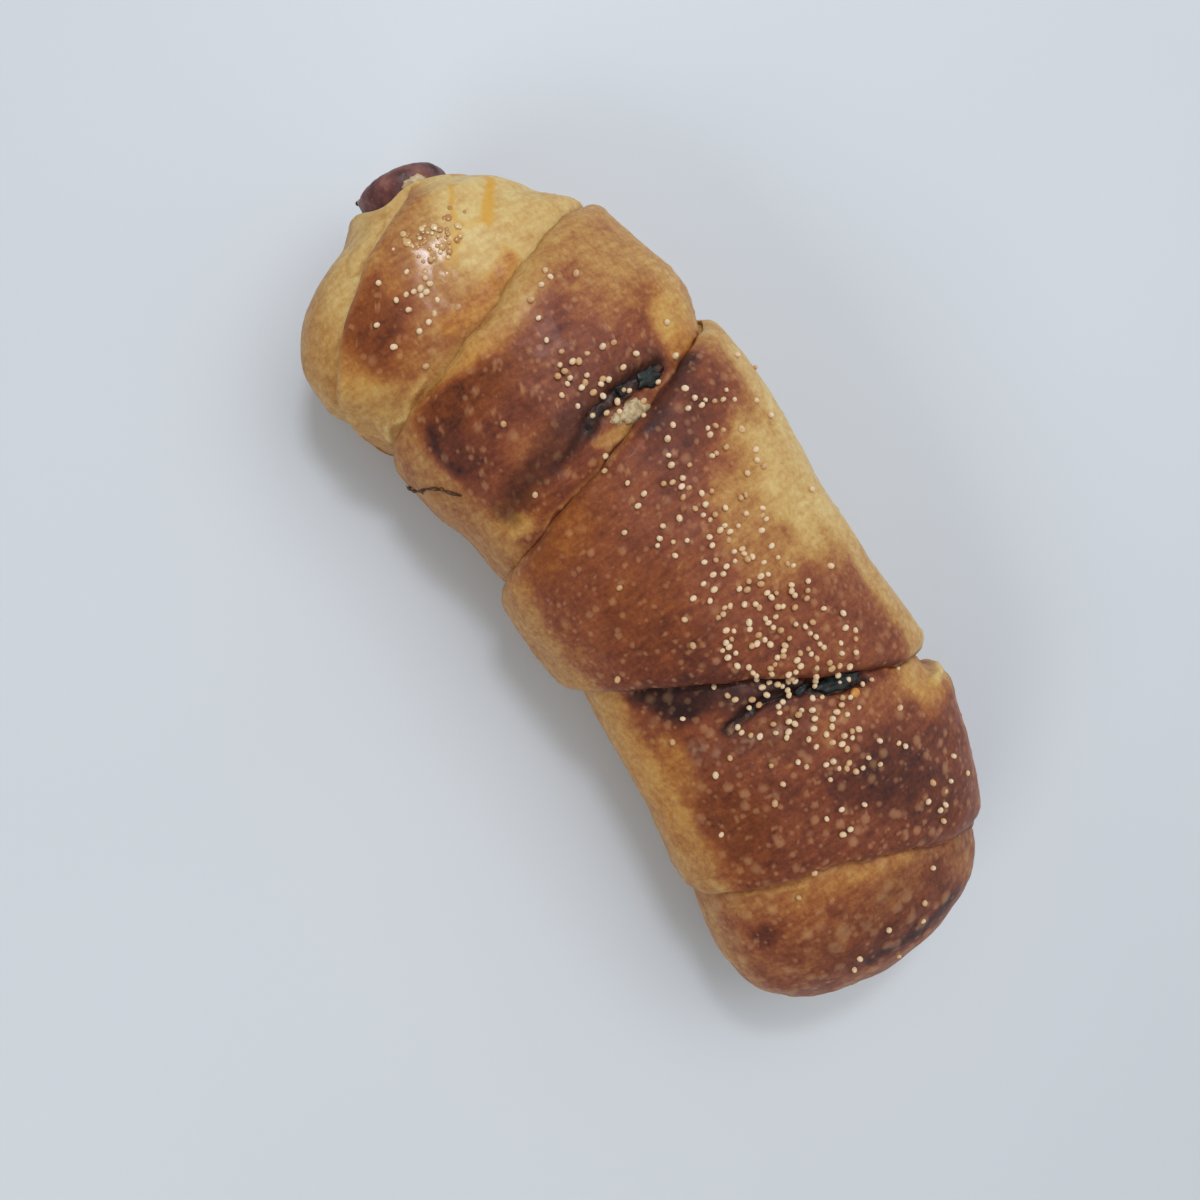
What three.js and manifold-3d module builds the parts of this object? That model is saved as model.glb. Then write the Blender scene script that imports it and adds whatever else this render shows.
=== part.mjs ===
// Sausage roll: a long tapering sheet of sweet yeast dough wound round a smoked sausage, glazed with
// egg, strewn with poppy seed and baked on a flat tray. Millimetres, +Z up. The roll lies along X,
// with the sausage showing at the -X end, and its origin is on the tray under the middle of it.
import * as THREE from 'three';
import { mergeVertices } from 'three/addons/utils/BufferGeometryUtils.js';
import Module from 'manifold-3d';

const wasm = await Module();
wasm.setup();

// ---------------------------------------------------------------- driving dimensions

// The roll is described by sections across it. An angle goes round each section from its top (0)
// over the +Y flank (90) to the underside (180) and back up the -Y flank (-90).
// Each station: x, y of the -Y flank, y of the +Y flank, top, height of the widest line, bottom.
// The bottom is below the tray where the roll is flattened on it.
const STATIONS = [
  [-87, -15.2, 12.6, 33.5, 21, 8.5],
  [-83.5, -19.5, 17.6, 37, 21, 3],
  [-78.5, -29.6, 22, 39.3, 20.8, 0],
  [-72, -38.6, 29.3, 41, 20.4, -1.5],
  [-64, -40.4, 31.2, 42.5, 20, -2],
  [-52, -34.5, 34.8, 43.8, 19.5, -2],
  [-35, -32.3, 37.2, 46, 19.5, -2],
  [-15, -30.6, 38, 47, 19.5, -2],
  [5, -30, 36.3, 47.5, 19.5, -2],
  [25, -29.5, 36.2, 47, 19.5, -2],
  [45, -30.5, 37.3, 46, 19.5, -2],
  [65, -34.3, 36.3, 43.5, 19, -2],
  [80, -36.5, 31, 41, 18.5, -2],
  [92, -38.9, 28.4, 39, 18, -2],
  [102, -38, 28, 38, 18, -2],
];
const TOP_POWER = 2.15;
const BOTTOM_POWER = 2.8;

// The mouth, where the sausage comes out. The sections lean with it over the last stretch.
const MOUTH = {
  x: -87, y: -1.6, z: 21, leanStart: -62, lean: 0.2, leanAbout: 1, lipDepth: 0.8, lipRadius: 11,
  notch: 2.6, notchAngle: -33, notchSpread: 20, // the rim stands back where the second turn begins
};

// The rounded shut end closes on its tip over this length.
const SHUT_END = { start: 74, skew: 1, length: 27.5, power: 2.3, y: -3, z: 17 };

// The free edges of the wound sheet. Each gives x over the top, on the +Y flank, underneath and on
// the -Y flank, a twist, and on which side of it the upper layer lies (1: towards +X).
const EDGES = [
  { top: -87, right: -92, under: -70, left: -56.5, twist: 4.5, upper: 1 },
  { top: -58.7, right: -70.3, under: -57.5, left: -48.4, twist: 1.8, upper: 1 },
  { top: -24.4, right: -37.1, under: -24.5, left: -13.6, twist: 2.2, upper: 1 },
  { top: 31.5, right: 48.3, under: 30, left: 12.8, twist: -0.6, upper: -1 },
  { top: 72, right: 86.7, under: 71, left: 61, twist: -1.3, upper: -1 },
];

// Each turn of the sheet stands this much above the mean form at its -X edge and at its +X edge,
// and swells between them.
const TURNS = [
  { from: -1, to: -1.6, swell: 0 },
  { from: 0.9, to: -1.2, swell: 0.6 },
  { from: 1.2, to: -1.4, swell: 0.8 },
  { from: 1.5, to: 1.5, swell: 0.4 },
  { from: -1.4, to: 1, swell: 0.8 },
  { from: -1.3, to: 0, swell: 0.4 },
];
const EDGE_NOSE = 3.6; // width of the rounded edge of the sheet
const EDGE_GAP = 1.6; // depth of the crease under it
const FOOT_DIP = 0.9; // how far the lower layer dips into the crease
const FOOT_WIDTH = 2.2;
const RELIEF_FULL = 98; // the layers show down to this angle and are pressed flat at the next
const RELIEF_GONE = 126;

// Swellings and dents in the rise of the dough: x, angle, half length, half angle, height.
const SWELLS = [
  { x: -45, angle: 80, length: 7, spread: 32, height: 1.4 }, // shoulder of the third turn
  { x: -25, angle: -88, length: 7, spread: 30, height: -1.5 }, // dent before the widest turn
  { x: -4, angle: -88, length: 9, spread: 34, height: 0.2 }, // belly of the widest turn
  { x: 50.5, angle: 80, length: 2.2, spread: 22, height: -1.1 }, // nick behind the widest turn
  { x: 55.5, angle: 78, length: 4, spread: 24, height: 1.7 }, // torn flap beyond the nick
  { x: -58, angle: -85, length: 3.5, spread: 30, height: -0.7 }, // pinch behind the first turn
  { x: -66, angle: 5, length: 6, spread: 28, height: -1.1 }, // hollow before the second edge
];

// The sausage and the bore that it fills.
const SAUSAGE = { radius: 9.7, clearance: 0.3, endRound: 2.8, sides: 20, bodyRings: 13, bodyFrom: 0.045, bodyTo: 0.975 };
const SAUSAGE_LINE = [
  [-93.9, -0.6, 21.1],
  [-86, -2, 21],
  [-74, -3.6, 20.6],
  [-55, -1.4, 20.2],
  [-30, 2.4, 20],
  [5, 3.2, 20],
  [45, 3.2, 20],
  [74, 0.6, 19.4],
];

// Splits in the crust with the dark filling in them: x and angle along each.
const SPLITS = {
  filling_upper: {
    line: [[-31.6, 33], [-31.3, 15], [-30.6, -4], [-27.4, -24], [-25.6, -42], [-24.4, -51]],
    halfWidth: 2.2,
  },
  filling_lower: {
    line: [[39.6, 27], [38, 12], [36.2, -4], [34.2, -20], [33.6, -34], [34, -42]],
    halfWidth: 2.4,
  },
};
const SPLIT = { depth: 5, top: 1, clearance: 0.3, opening: 4, steps: 22 };

// A dried sprig baked onto the -Y flank, and a crumb of white cheese beside the upper split.
const SPRIG = { line: [[-41.7, -97], [-39.4, -84], [-37.4, -72], [-33, -64]], radius: 0.45, lift: 0.1 };
const CRUMB = { x: -27.6, angle: 8, size: [3, 2.1, 1.3] };

// Poppy seed, in drifts as it fell: x, angle, spreads along and round, how many.
const DRIFTS = [
  { x: -66.5, angle: -23, along: 3.2, round: 8, count: 20 },
  { x: -55, angle: 10, along: 4, round: 24, count: 6 },
  { x: -35, angle: 3, along: 5.5, round: 12, count: 34 },
  { x: -20, angle: 22, along: 7, round: 18, count: 38 },
  { x: -2, angle: 10, along: 7, round: 9, count: 54 },
  { x: 18, angle: 3, along: 8, round: 13, count: 104 },
  { x: 34, angle: -4, along: 5, round: 18, count: 66 },
  { x: 46, angle: 2, along: 8, round: 18, count: 60 },
  { x: 70, angle: 35, along: 6, round: 9, count: 10 },
  { x: 92, angle: 0, along: 4, round: 30, count: 6 },
  { x: 5, angle: -10, along: 45, round: 30, count: 22 },
];
const SEED = {
  smallest: 0.52, largest: 0.72, sunk: 0.34, apart: 2.1, fused: 140, draw: 7, from: -82, to: 97, reach: 78,
};

// How finely the faces are cut.
const TOP_COLUMNS = 36;
const UNDER_COLUMNS = 5;
const TOP_REACH = 128; // the closer columns run this far down each flank
const ROW_STEP = 8;
const TRAY = [260, 140, 40]; // the block that cuts the underside flat
const BORE_OVERSHOOT = 12; // how far the bore goes on past the sausage's showing end

// ---------------------------------------------------------------- small helpers

const RAD = Math.PI / 180;
const mix = (a, b, t) => a + (b - a) * t;
const clamp01 = (v) => Math.min(1, Math.max(0, v));

function ease(from, to, v) {
  const t = clamp01((v - from) / (to - from));
  return t * t * (3 - 2 * t);
}

// A repeatable stream of random numbers between 0 and 1.
function makeRandom(start) {
  let state = start;
  return () => {
    state = (state + 0x6d2b79f5) | 0;
    let t = Math.imul(state ^ (state >>> 15), 1 | state);
    t = (t + Math.imul(t ^ (t >>> 7), 61 | t)) ^ t;
    return ((t ^ (t >>> 14)) >>> 0) / 4294967296;
  };
}

// A smooth curve through the rows of a table: column 0 is where, the other columns are what.
function alongTable(table, where, column) {
  const last = table.length - 1;
  let i = 0;
  while (i < last - 1 && table[i + 1][0] < where) i += 1;
  const slope = (k) => {
    if (k === 0) return (table[1][column] - table[0][column]) / (table[1][0] - table[0][0]);
    if (k === last) {
      return (table[k][column] - table[k - 1][column]) / (table[k][0] - table[k - 1][0]);
    }
    const before = table[k][0] - table[k - 1][0];
    const after = table[k + 1][0] - table[k][0];
    const rise = before * before * table[k + 1][column]
      + (after * after - before * before) * table[k][column]
      - after * after * table[k - 1][column];
    return rise / (before * after * (before + after));
  };
  const h = table[i + 1][0] - table[i][0];
  const t = (where - table[i][0]) / h;
  return (2 * t ** 3 - 3 * t ** 2 + 1) * table[i][column] + (t ** 3 - 2 * t ** 2 + t) * h * slope(i)
    + (3 * t ** 2 - 2 * t ** 3) * table[i + 1][column] + (t ** 3 - t ** 2) * h * slope(i + 1);
}

// A closed geometry from points and triangles that share them.
function shell(points, triangles) {
  const geometry = new THREE.BufferGeometry();
  geometry.setAttribute('position', new THREE.Float32BufferAttribute(points.flat(), 3));
  geometry.setIndex(triangles.flat());
  return geometry;
}

function toSolid(geometry) {
  const bare = geometry.clone();
  bare.deleteAttribute('normal');
  bare.deleteAttribute('uv');
  const merged = mergeVertices(bare, 1e-4);
  return new wasm.Manifold(new wasm.Mesh({
    numProp: 3,
    vertProperties: new Float32Array(merged.attributes.position.array),
    triVerts: new Uint32Array(merged.index.array),
  }));
}

function toGeometry(solid) {
  const mesh = solid.getMesh();
  const geometry = new THREE.BufferGeometry();
  geometry.setAttribute('position', new THREE.BufferAttribute(new Float32Array(mesh.vertProperties), 3));
  geometry.setIndex(new THREE.BufferAttribute(new Uint32Array(mesh.triVerts), 1));
  geometry.computeVertexNormals();
  return geometry;
}

// A closed tube of rings, each a list of points, shut by a fan at both ends.
function tubeOfRings(rings) {
  const sides = rings[0].length;
  const points = rings.flat();
  const triangles = [];
  for (let k = 0; k + 1 < rings.length; k += 1) {
    for (let j = 0; j < sides; j += 1) {
      const a = k * sides + j;
      const b = k * sides + ((j + 1) % sides);
      triangles.push([a, b, a + sides], [b, b + sides, a + sides]);
    }
  }
  for (const [k, turn] of [[0, 1], [rings.length - 1, -1]]) {
    const middle = points.length;
    points.push([0, 1, 2].map((n) => rings[k].reduce((sum, p) => sum + p[n], 0) / sides));
    for (let j = 0; j < sides; j += 1) {
      const a = k * sides + j;
      const b = k * sides + ((j + 1) % sides);
      triangles.push(turn > 0 ? [middle, b, a] : [middle, a, b]);
    }
  }
  return shell(points, triangles);
}

// ---------------------------------------------------------------- form of the dough

function edgeX(edge, angle) {
  const { top, right, under, left, twist } = edge;
  const a = angle * RAD;
  return (top + under + right + left) / 4 + ((top - under) / 2) * Math.cos(a)
    + ((right - left) / 2) * Math.sin(a) + ((top + under - right - left) / 4) * Math.cos(2 * a)
    + twist * Math.sin(2 * a);
}

// How far the surface stands out from the mean form.
function relief(x, angle) {
  const lines = EDGES.map((edge) => edgeX(edge, angle));
  const turn = lines.filter((line) => x >= line).length;
  const low = turn === 0 ? MOUTH.x : lines[turn - 1];
  const high = turn === lines.length ? SHUT_END.start + SHUT_END.length : lines[turn];
  const t = clamp01((x - low) / (high - low + 1e-9));
  const { from, to, swell } = TURNS[turn];
  let height = mix(from, to, t) + swell * Math.sin(Math.PI * t);
  EDGES.forEach((edge, k) => {
    const past = edge.upper * (x - lines[k]);
    if (past >= 0 && past < EDGE_NOSE) {
      height = mix(-EDGE_GAP, height, Math.sqrt(1 - (1 - past / EDGE_NOSE) ** 2));
    } else if (past < 0) {
      height -= FOOT_DIP * Math.exp(past / FOOT_WIDTH);
    }
  });
  height *= (1 - ease(RELIEF_FULL, RELIEF_GONE, Math.abs(angle))) * ease(MOUTH.x, MOUTH.x + 5, x);
  for (const s of SWELLS) {
    const along = (x - s.x) / s.length;
    const round = (angle - s.angle) / s.spread;
    height += s.height * Math.exp(-(along * along + round * round));
  }
  return height;
}

// The point on the dough at x and angle, raised by lift.
function onDough(x, angle, lift = 0) {
  const [left, right, top, wide, bottom] = [1, 2, 3, 4, 5].map((c) => alongTable(STATIONS, x, c));
  const s = Math.sin(angle * RAD);
  const c = Math.cos(angle * RAD);
  const power = c >= 0 ? TOP_POWER : BOTTOM_POWER;
  const rise = c >= 0 ? top - wide : wide - bottom;
  const across = (Math.abs(s) / ((right - left) / 2)) ** power;
  let radius = (across + (Math.abs(c) / rise) ** power) ** (-1 / power) + relief(x, angle);
  const closeFrom = SHUT_END.start + SHUT_END.skew * s;
  const t = clamp01((x - closeFrom) / (SHUT_END.start + SHUT_END.length - closeFrom));
  const drift = t * t * (3 - 2 * t);
  radius = radius * (1 - t ** SHUT_END.power) ** (1 / SHUT_END.power) + lift;
  const y = mix((left + right) / 2, SHUT_END.y, drift) + radius * s;
  const z = mix(wide, SHUT_END.z, drift) + radius * c;
  const towardsMouth = ease(0, 1, (MOUTH.leanStart - x) / (MOUTH.leanStart - MOUTH.x));
  return [x + MOUTH.lean * towardsMouth * (y - MOUTH.leanAbout), y, z];
}

// Outward direction of the dough there.
function outward(x, angle) {
  const at = (dx, da) => new THREE.Vector3(...onDough(x + dx, angle + da));
  const along = at(0.8, 0).sub(at(-0.8, 0));
  const round = at(0, 1.5).sub(at(0, -1.5));
  return along.cross(round).normalize();
}

// Columns of the skin: close together over the top, wider apart underneath.
function columnAngles() {
  const angles = [];
  for (let j = 0; j < TOP_COLUMNS; j += 1) {
    angles.push(mix(-TOP_REACH, TOP_REACH, j / (TOP_COLUMNS - 1)));
  }
  for (let j = 1; j < UNDER_COLUMNS; j += 1) {
    angles.push(mix(TOP_REACH, 360 - TOP_REACH, j / UNDER_COLUMNS));
  }
  return angles.map((a) => (a > 180 ? a - 360 : a));
}

// How far the rim of the mouth stands back at an angle.
const mouthNotch = (angle) => MOUTH.notch * Math.exp(-(((angle - MOUTH.notchAngle) / MOUTH.notchSpread) ** 2));

// Rows of the skin, each a function from angle to x. They follow every edge of the sheet closely.
function rowLines() {
  const mouth = (angle) => MOUTH.x + mouthNotch(angle);
  const first = (angle) => Math.max(edgeX(EDGES[0], angle), MOUTH.x + 5);
  const shut = (share) => (angle) => {
    const from = Math.max(edgeX(EDGES[4], angle) + 2, SHUT_END.start);
    return mix(from, SHUT_END.start + SHUT_END.length, Math.sin(share * 90 * RAD));
  };
  const lines = [first, ...EDGES.slice(1).map((edge) => (angle) => edgeX(edge, angle))];
  const offsets = { 1: [-2.4, -0.3, 0.05, 0.5, 1.5, 3.6], '-1': [-3.6, -1.5, -0.5, -0.05, 0.3, 2.4] };
  const rows = [mouth];
  for (const share of [0.12, 0.32, 0.6]) rows.push((angle) => mix(mouth(angle), first(angle) - 2.4, share));
  lines.forEach((line, k) => {
    for (const offset of offsets[EDGES[k].upper]) rows.push((angle) => line(angle) + offset);
    if (k + 1 < lines.length) {
      const start = offsets[EDGES[k].upper].at(-1);
      const stop = offsets[EDGES[k + 1].upper][0];
      const length = EDGES[k + 1].top + stop - EDGES[k].top - start;
      const steps = Math.round(length / ROW_STEP);
      for (let n = 1; n < steps; n += 1) {
        rows.push((angle) => mix(line(angle) + start, lines[k + 1](angle) + stop, n / steps));
      }
    }
  });
  for (const share of [0.28, 0.44, 0.6, 0.74, 0.87]) rows.push(shut(share));
  return rows;
}

function doughSkin() {
  const angles = columnAngles();
  const rings = rowLines().map((row) => angles.map((angle) => onDough(row(angle), angle)));
  const mouthPlane = (y) => MOUTH.x + MOUTH.lean * (y - MOUTH.leanAbout) - MOUTH.lipDepth;
  const lip = rings[0].map(([, y, z], j) => {
    const away = new THREE.Vector2(y - MOUTH.y, z - MOUTH.z).setLength(MOUTH.lipRadius);
    return [mouthPlane(MOUTH.y + away.x) + mouthNotch(angles[j]), MOUTH.y + away.x, MOUTH.z + away.y];
  });
  return tubeOfRings([lip, ...rings].map((ring) => ring.slice().reverse()));
}

// ---------------------------------------------------------------- sausage

// Rings round the sausage's line, from its showing end to its hidden one.
function sausageBody(extra, overshoot) {
  const { radius, endRound, sides, bodyRings, bodyFrom, bodyTo } = SAUSAGE;
  const line = new THREE.CatmullRomCurve3(SAUSAGE_LINE.map((p) => new THREE.Vector3(...p)));
  const length = line.getLength();
  const full = radius + extra;
  const stops = [];
  for (const turn of [0, 0.5, 1]) {
    const a = turn * 90 * RAD;
    stops.push([endRound * (1 - Math.sin(a)) / length, full - endRound * (1 - Math.cos(a))]);
  }
  stops.reverse();
  for (let n = 0; n < bodyRings; n += 1) stops.push([mix(bodyFrom, bodyTo, n / (bodyRings - 1)), full]);
  stops.push([1, full - endRound]);
  return tubeOfRings(stops.map(([share, r], k) => {
    const centre = line.getPointAt(clamp01(share));
    const ahead = line.getTangentAt(clamp01(share));
    const side = new THREE.Vector3(-ahead.y, ahead.x, 0).normalize();
    const up = ahead.clone().cross(side);
    if (k === 0) centre.addScaledVector(ahead, -overshoot);
    if (k === stops.length - 1) centre.addScaledVector(ahead, extra);
    const size = k === 0 && overshoot > 0 ? full : r;
    return Array.from({ length: sides }, (_, j) => {
      const a = (j / sides) * 360 * RAD;
      return centre.clone().addScaledVector(side, size * Math.cos(a))
        .addScaledVector(up, size * Math.sin(a)).toArray();
    });
  }));
}

// ---------------------------------------------------------------- splits and their filling

// A strip along a split, from its depth below the surface to a height above it. Room widens it,
// deepens it and lengthens it at both ends.
function strip({ line, halfWidth }, height, uneven, room) {
  const keyed = line.map(([x, angle], k) => [k / (line.length - 1), x, angle]);
  const place = (t) => [alongTable(keyed, t, 1), alongTable(keyed, t, 2)];
  const point = (t) => new THREE.Vector3(...onDough(...place(t)));
  const ring = (t, past) => {
    const ahead = point(clamp01(t + 0.02)).sub(point(clamp01(t - 0.02))).normalize();
    const out = outward(...place(t));
    out.addScaledVector(ahead, -out.dot(ahead)).normalize();
    const side = ahead.clone().cross(out);
    const centre = point(t).addScaledVector(ahead, past);
    const width = halfWidth * (0.3 + 0.7 * Math.sin(Math.PI * mix(0.08, 0.92, t))) + room;
    const bump = uneven * (Math.sin(t * 31) + 0.6 * Math.sin(t * 57 + 1));
    const under = SPLIT.depth + room;
    const profile = [[-1, height - 0.5], [-0.45, height + bump], [0.45, height - bump / 2],
      [1, height - 0.5], [0.8, -under], [-0.8, -under]];
    return profile.map(([across, up]) => centre.clone().addScaledVector(side, across * width)
      .addScaledVector(out, up).toArray());
  };
  const rings = Array.from({ length: SPLIT.steps + 1 }, (_, n) => ring(n / SPLIT.steps, 0));
  return tubeOfRings(room > 0 ? [ring(0, -room), ...rings, ring(1, room)] : rings);
}

const filling = (name) => strip(SPLITS[name], -SPLIT.top, 0.25, 0);
const splitCut = (name) => strip(SPLITS[name], SPLIT.opening, 0, SPLIT.clearance * 1.4);

// ---------------------------------------------------------------- what is baked onto the dough

function sprigTwig() {
  const keyed = SPRIG.line.map(([x, angle], k) => [k, x, angle]);
  const sides = 5;
  const rings = [];
  for (let t = 0; t <= SPRIG.line.length - 1 + 1e-9; t += 0.5) {
    const x = alongTable(keyed, t, 1);
    const angle = alongTable(keyed, t, 2);
    const out = outward(x, angle);
    const round = new THREE.Vector3(...onDough(x, angle + 1)).sub(new THREE.Vector3(...onDough(x, angle)));
    const side = out.clone().cross(round.normalize());
    const centre = new THREE.Vector3(...onDough(x, angle, SPRIG.lift));
    rings.push(Array.from({ length: sides }, (_, j) => {
      const a = (j / sides) * 360 * RAD;
      return centre.clone().addScaledVector(side, SPRIG.radius * Math.cos(a))
        .addScaledVector(out, SPRIG.radius * Math.sin(a)).toArray();
    }));
  }
  return tubeOfRings(rings);
}

function cheeseCrumb() {
  const geometry = new THREE.IcosahedronGeometry(1, 1);
  const [along, round, high] = CRUMB.size;
  const out = outward(CRUMB.x, CRUMB.angle);
  const turn = new THREE.Quaternion().setFromUnitVectors(new THREE.Vector3(0, 0, 1), out);
  geometry.applyMatrix4(new THREE.Matrix4().compose(
    new THREE.Vector3(...onDough(CRUMB.x, CRUMB.angle)), turn, new THREE.Vector3(along, round, high)));
  return geometry;
}

// Every seed that fell: where, how big and how turned.
function scatterSeeds() {
  const random = makeRandom(SEED.draw);
  const bell = () => Math.sqrt(-2 * Math.log(1 - random())) * Math.cos(2 * Math.PI * random());
  const seeds = [];
  for (const drift of DRIFTS) {
    for (let n = 0; n < drift.count; n += 1) {
      const x = drift.x + drift.along * bell();
      const angle = drift.angle + drift.round * bell();
      const radius = mix(SEED.smallest, SEED.largest, random());
      const turns = [random(), random(), random()].map((v) => v * 2 * Math.PI);
      seeds.push({ x, angle, radius, turns });
    }
  }
  return seeds;
}

// The largest seeds, well apart and clear of the edges and splits, as faceted grains.
function fusedSeeds() {
  const places = [];
  const nearSplit = (x, angle) => Object.values(SPLITS).some(({ line, halfWidth }) => {
    const keyed = line.map(([px, pa]) => [-pa, px]);
    const within = -angle > keyed[0][0] - 5 && -angle < keyed.at(-1)[0] + 5;
    return within && Math.abs(x - alongTable(keyed, -angle, 1)) < halfWidth + 1.6;
  });
  const nearEdge = (x, angle) => EDGES.some((edge) => Math.abs(x - edgeX(edge, angle)) < 1.1);
  const seeds = scatterSeeds().sort((a, b) => b.radius - a.radius);
  for (const seed of seeds) {
    if (places.length === SEED.fused) break;
    if (seed.x < SEED.from || seed.x > SEED.to || Math.abs(seed.angle) > SEED.reach) continue;
    if (nearSplit(seed.x, seed.angle) || nearEdge(seed.x, seed.angle)) continue;
    const centre = new THREE.Vector3(...onDough(seed.x, seed.angle, seed.radius - SEED.sunk));
    if (places.some((other) => other.centre.distanceTo(centre) < SEED.apart)) continue;
    places.push({ centre, ...seed });
  }
  return places.map(({ centre, radius, turns }) => {
    const geometry = new THREE.IcosahedronGeometry(radius, 0);
    geometry.applyMatrix4(new THREE.Matrix4().makeRotationFromEuler(new THREE.Euler(...turns)));
    return geometry.translate(...centre.toArray());
  });
}

// ---------------------------------------------------------------- the pieces

function doughBody() {
  const tray = new THREE.BoxGeometry(...TRAY).translate(0, 0, -TRAY[2] / 2);
  let body = toSolid(doughSkin()).subtract(toSolid(tray));
  const grains = fusedSeeds().map(toSolid);
  body = wasm.Manifold.union([body, toSolid(sprigTwig()), toSolid(cheeseCrumb()), ...grains]);
  body = body.subtract(toSolid(sausageBody(SAUSAGE.clearance, BORE_OVERSHOOT)));
  for (const name of Object.keys(SPLITS)) body = body.subtract(toSolid(splitCut(name)));
  const [whole] = body.decompose().sort((a, b) => b.volume() - a.volume()); // drops any loose scrap
  return toGeometry(whole);
}

const crust = new THREE.MeshStandardMaterial({ color: '#9c6238', roughness: 0.42, metalness: 0 });
const meat = new THREE.MeshStandardMaterial({ color: '#5c322b', roughness: 0.38, metalness: 0 });
const greens = new THREE.MeshStandardMaterial({ color: '#2a211c', roughness: 0.55, metalness: 0 });

const pieces = [
  ['dough', doughBody(), crust],
  ['sausage', sausageBody(0, 0), meat],
  ['filling_upper', filling('filling_upper'), greens],
  ['filling_lower', filling('filling_lower'), greens],
];

// The origin goes under the middle of the whole.
const extent = new THREE.Box3();
for (const [, geometry] of pieces) {
  geometry.computeBoundingBox();
  extent.union(geometry.boundingBox);
}
const middle = extent.getCenter(new THREE.Vector3());

const roll = new THREE.Group();
roll.name = 'sausage_roll';
for (const [name, geometry, material] of pieces) {
  const mesh = new THREE.Mesh(geometry, material);
  mesh.name = name;
  mesh.position.set(-middle.x, -middle.y, -extent.min.z);
  roll.add(mesh);
}

export default roll;
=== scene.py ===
"""A sausage roll: sweet yeast dough wound round a smoked sausage, egg glazed, strewn with poppy seed and
baked."""

import math

import bmesh
import bpy
import numpy as np
from mathutils import Matrix, Vector, noise


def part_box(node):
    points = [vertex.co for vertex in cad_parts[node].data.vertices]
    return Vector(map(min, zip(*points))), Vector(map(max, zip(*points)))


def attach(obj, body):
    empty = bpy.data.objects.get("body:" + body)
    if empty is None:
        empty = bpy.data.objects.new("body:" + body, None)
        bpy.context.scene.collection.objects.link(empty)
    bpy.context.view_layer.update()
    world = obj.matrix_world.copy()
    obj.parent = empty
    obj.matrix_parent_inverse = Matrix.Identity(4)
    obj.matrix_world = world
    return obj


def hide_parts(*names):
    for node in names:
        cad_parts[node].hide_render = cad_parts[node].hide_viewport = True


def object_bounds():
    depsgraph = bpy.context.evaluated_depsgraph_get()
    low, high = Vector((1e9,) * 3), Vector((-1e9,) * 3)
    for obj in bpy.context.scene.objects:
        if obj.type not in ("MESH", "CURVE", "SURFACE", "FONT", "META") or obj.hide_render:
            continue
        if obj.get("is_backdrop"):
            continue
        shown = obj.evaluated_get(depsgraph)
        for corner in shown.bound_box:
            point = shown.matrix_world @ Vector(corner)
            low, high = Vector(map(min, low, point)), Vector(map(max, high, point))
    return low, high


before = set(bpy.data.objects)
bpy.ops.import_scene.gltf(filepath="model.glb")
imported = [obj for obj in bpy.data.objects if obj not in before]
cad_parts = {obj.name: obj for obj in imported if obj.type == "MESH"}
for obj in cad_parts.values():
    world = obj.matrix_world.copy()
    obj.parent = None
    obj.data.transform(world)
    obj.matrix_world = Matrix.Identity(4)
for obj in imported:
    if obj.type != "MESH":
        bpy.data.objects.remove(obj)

cad_low, cad_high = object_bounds()

# ---------------------------------------------------------------- the smoked sausage
# A thin smoked sausage in a natural casing lies along the roll from end to end, and shows only at the
# mouth. Baking has drawn the casing into fine wrinkles, and its tied end is a small hard nub.

MM = 0.001
MIDDLE = np.array([3.066, 0.511, 0.0])  # the row's origin is at this point of the roll's own lines, in mm
SAUSAGE_LINE = np.array([
    [-93.9, -0.6, 21.1], [-86, -2, 21], [-74, -3.6, 20.6], [-55, -1.4, 20.2],
    [-30, 2.4, 20], [5, 3.2, 20], [45, 3.2, 20], [74, 0.6, 19.4],
])
SAUSAGE_RADIUS = 9.68
SAUSAGE_SIDES = 96
END_ROUND = 2.9             # how far back the end is rounded
SHOWN_LENGTH = 20           # its rings lie close together over this length, and far apart in the dough
HIDDEN_LENGTHS = (26, 166)  # from the first of those to the last
FOLD_DEPTH, FOLD_WIDTH, FOLD_STRETCH = 0.5, 1.6, 0.28  # the folds run along the sausage
PUCKER_DEPTH, PUCKER_WIDTH = 0.25, 2.6
KNOTS = [(-93.7, -9.0, 20.6, 1.15, 1), (-94.5, -9.9, 20.3, 0.5, 2)]  # place, radius and how dried
KNOT_SHAPE, KNOT_LUMPS = [0.95, 1, 1.15], 0.22
CLEAR = 0.03                # how far inside its solid the sausage stays


def ease(start, stop, value):
    """0 before start, 1 after stop, and a smooth step between them."""
    t = np.clip((value - start) / (stop - start), 0, 1)
    return t * t * (3 - 2 * t)


def grain(points, size, octaves=3):
    """Fractal noise from about -1 to 1 at points in mm, with features of that size."""
    flat = np.reshape(points, (-1, 3)) / size
    values = [noise.fractal(Vector(p), 1.0, 2.0, octaves) for p in flat.tolist()]
    return np.reshape(values, np.shape(points)[:-1])


def linear(code, alpha=1.0):
    """An sRGB hex colour as linear numbers."""
    parts = [int(code[i:i + 2], 16) / 255 for i in (1, 3, 5)]
    return [p / 12.92 if p <= 0.04045 else ((p + 0.055) / 1.055) ** 2.4 for p in parts] + [alpha]


def add(tree, kind, inputs=None, **settings):
    """Adds a node. Settings are its own. Inputs go to its sockets: values, sockets to link from, or other
    nodes, which are linked by their first output."""
    made = tree.nodes.new(kind)
    for name, value in settings.items():
        setattr(made, name, value)
    for name, value in (inputs or {}).items():
        if isinstance(value, bpy.types.Node):
            value = value.outputs[0]
        if isinstance(value, bpy.types.NodeSocket):
            tree.links.new(value, made.inputs[name])
        else:
            made.inputs[name].default_value = value
    return made


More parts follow.
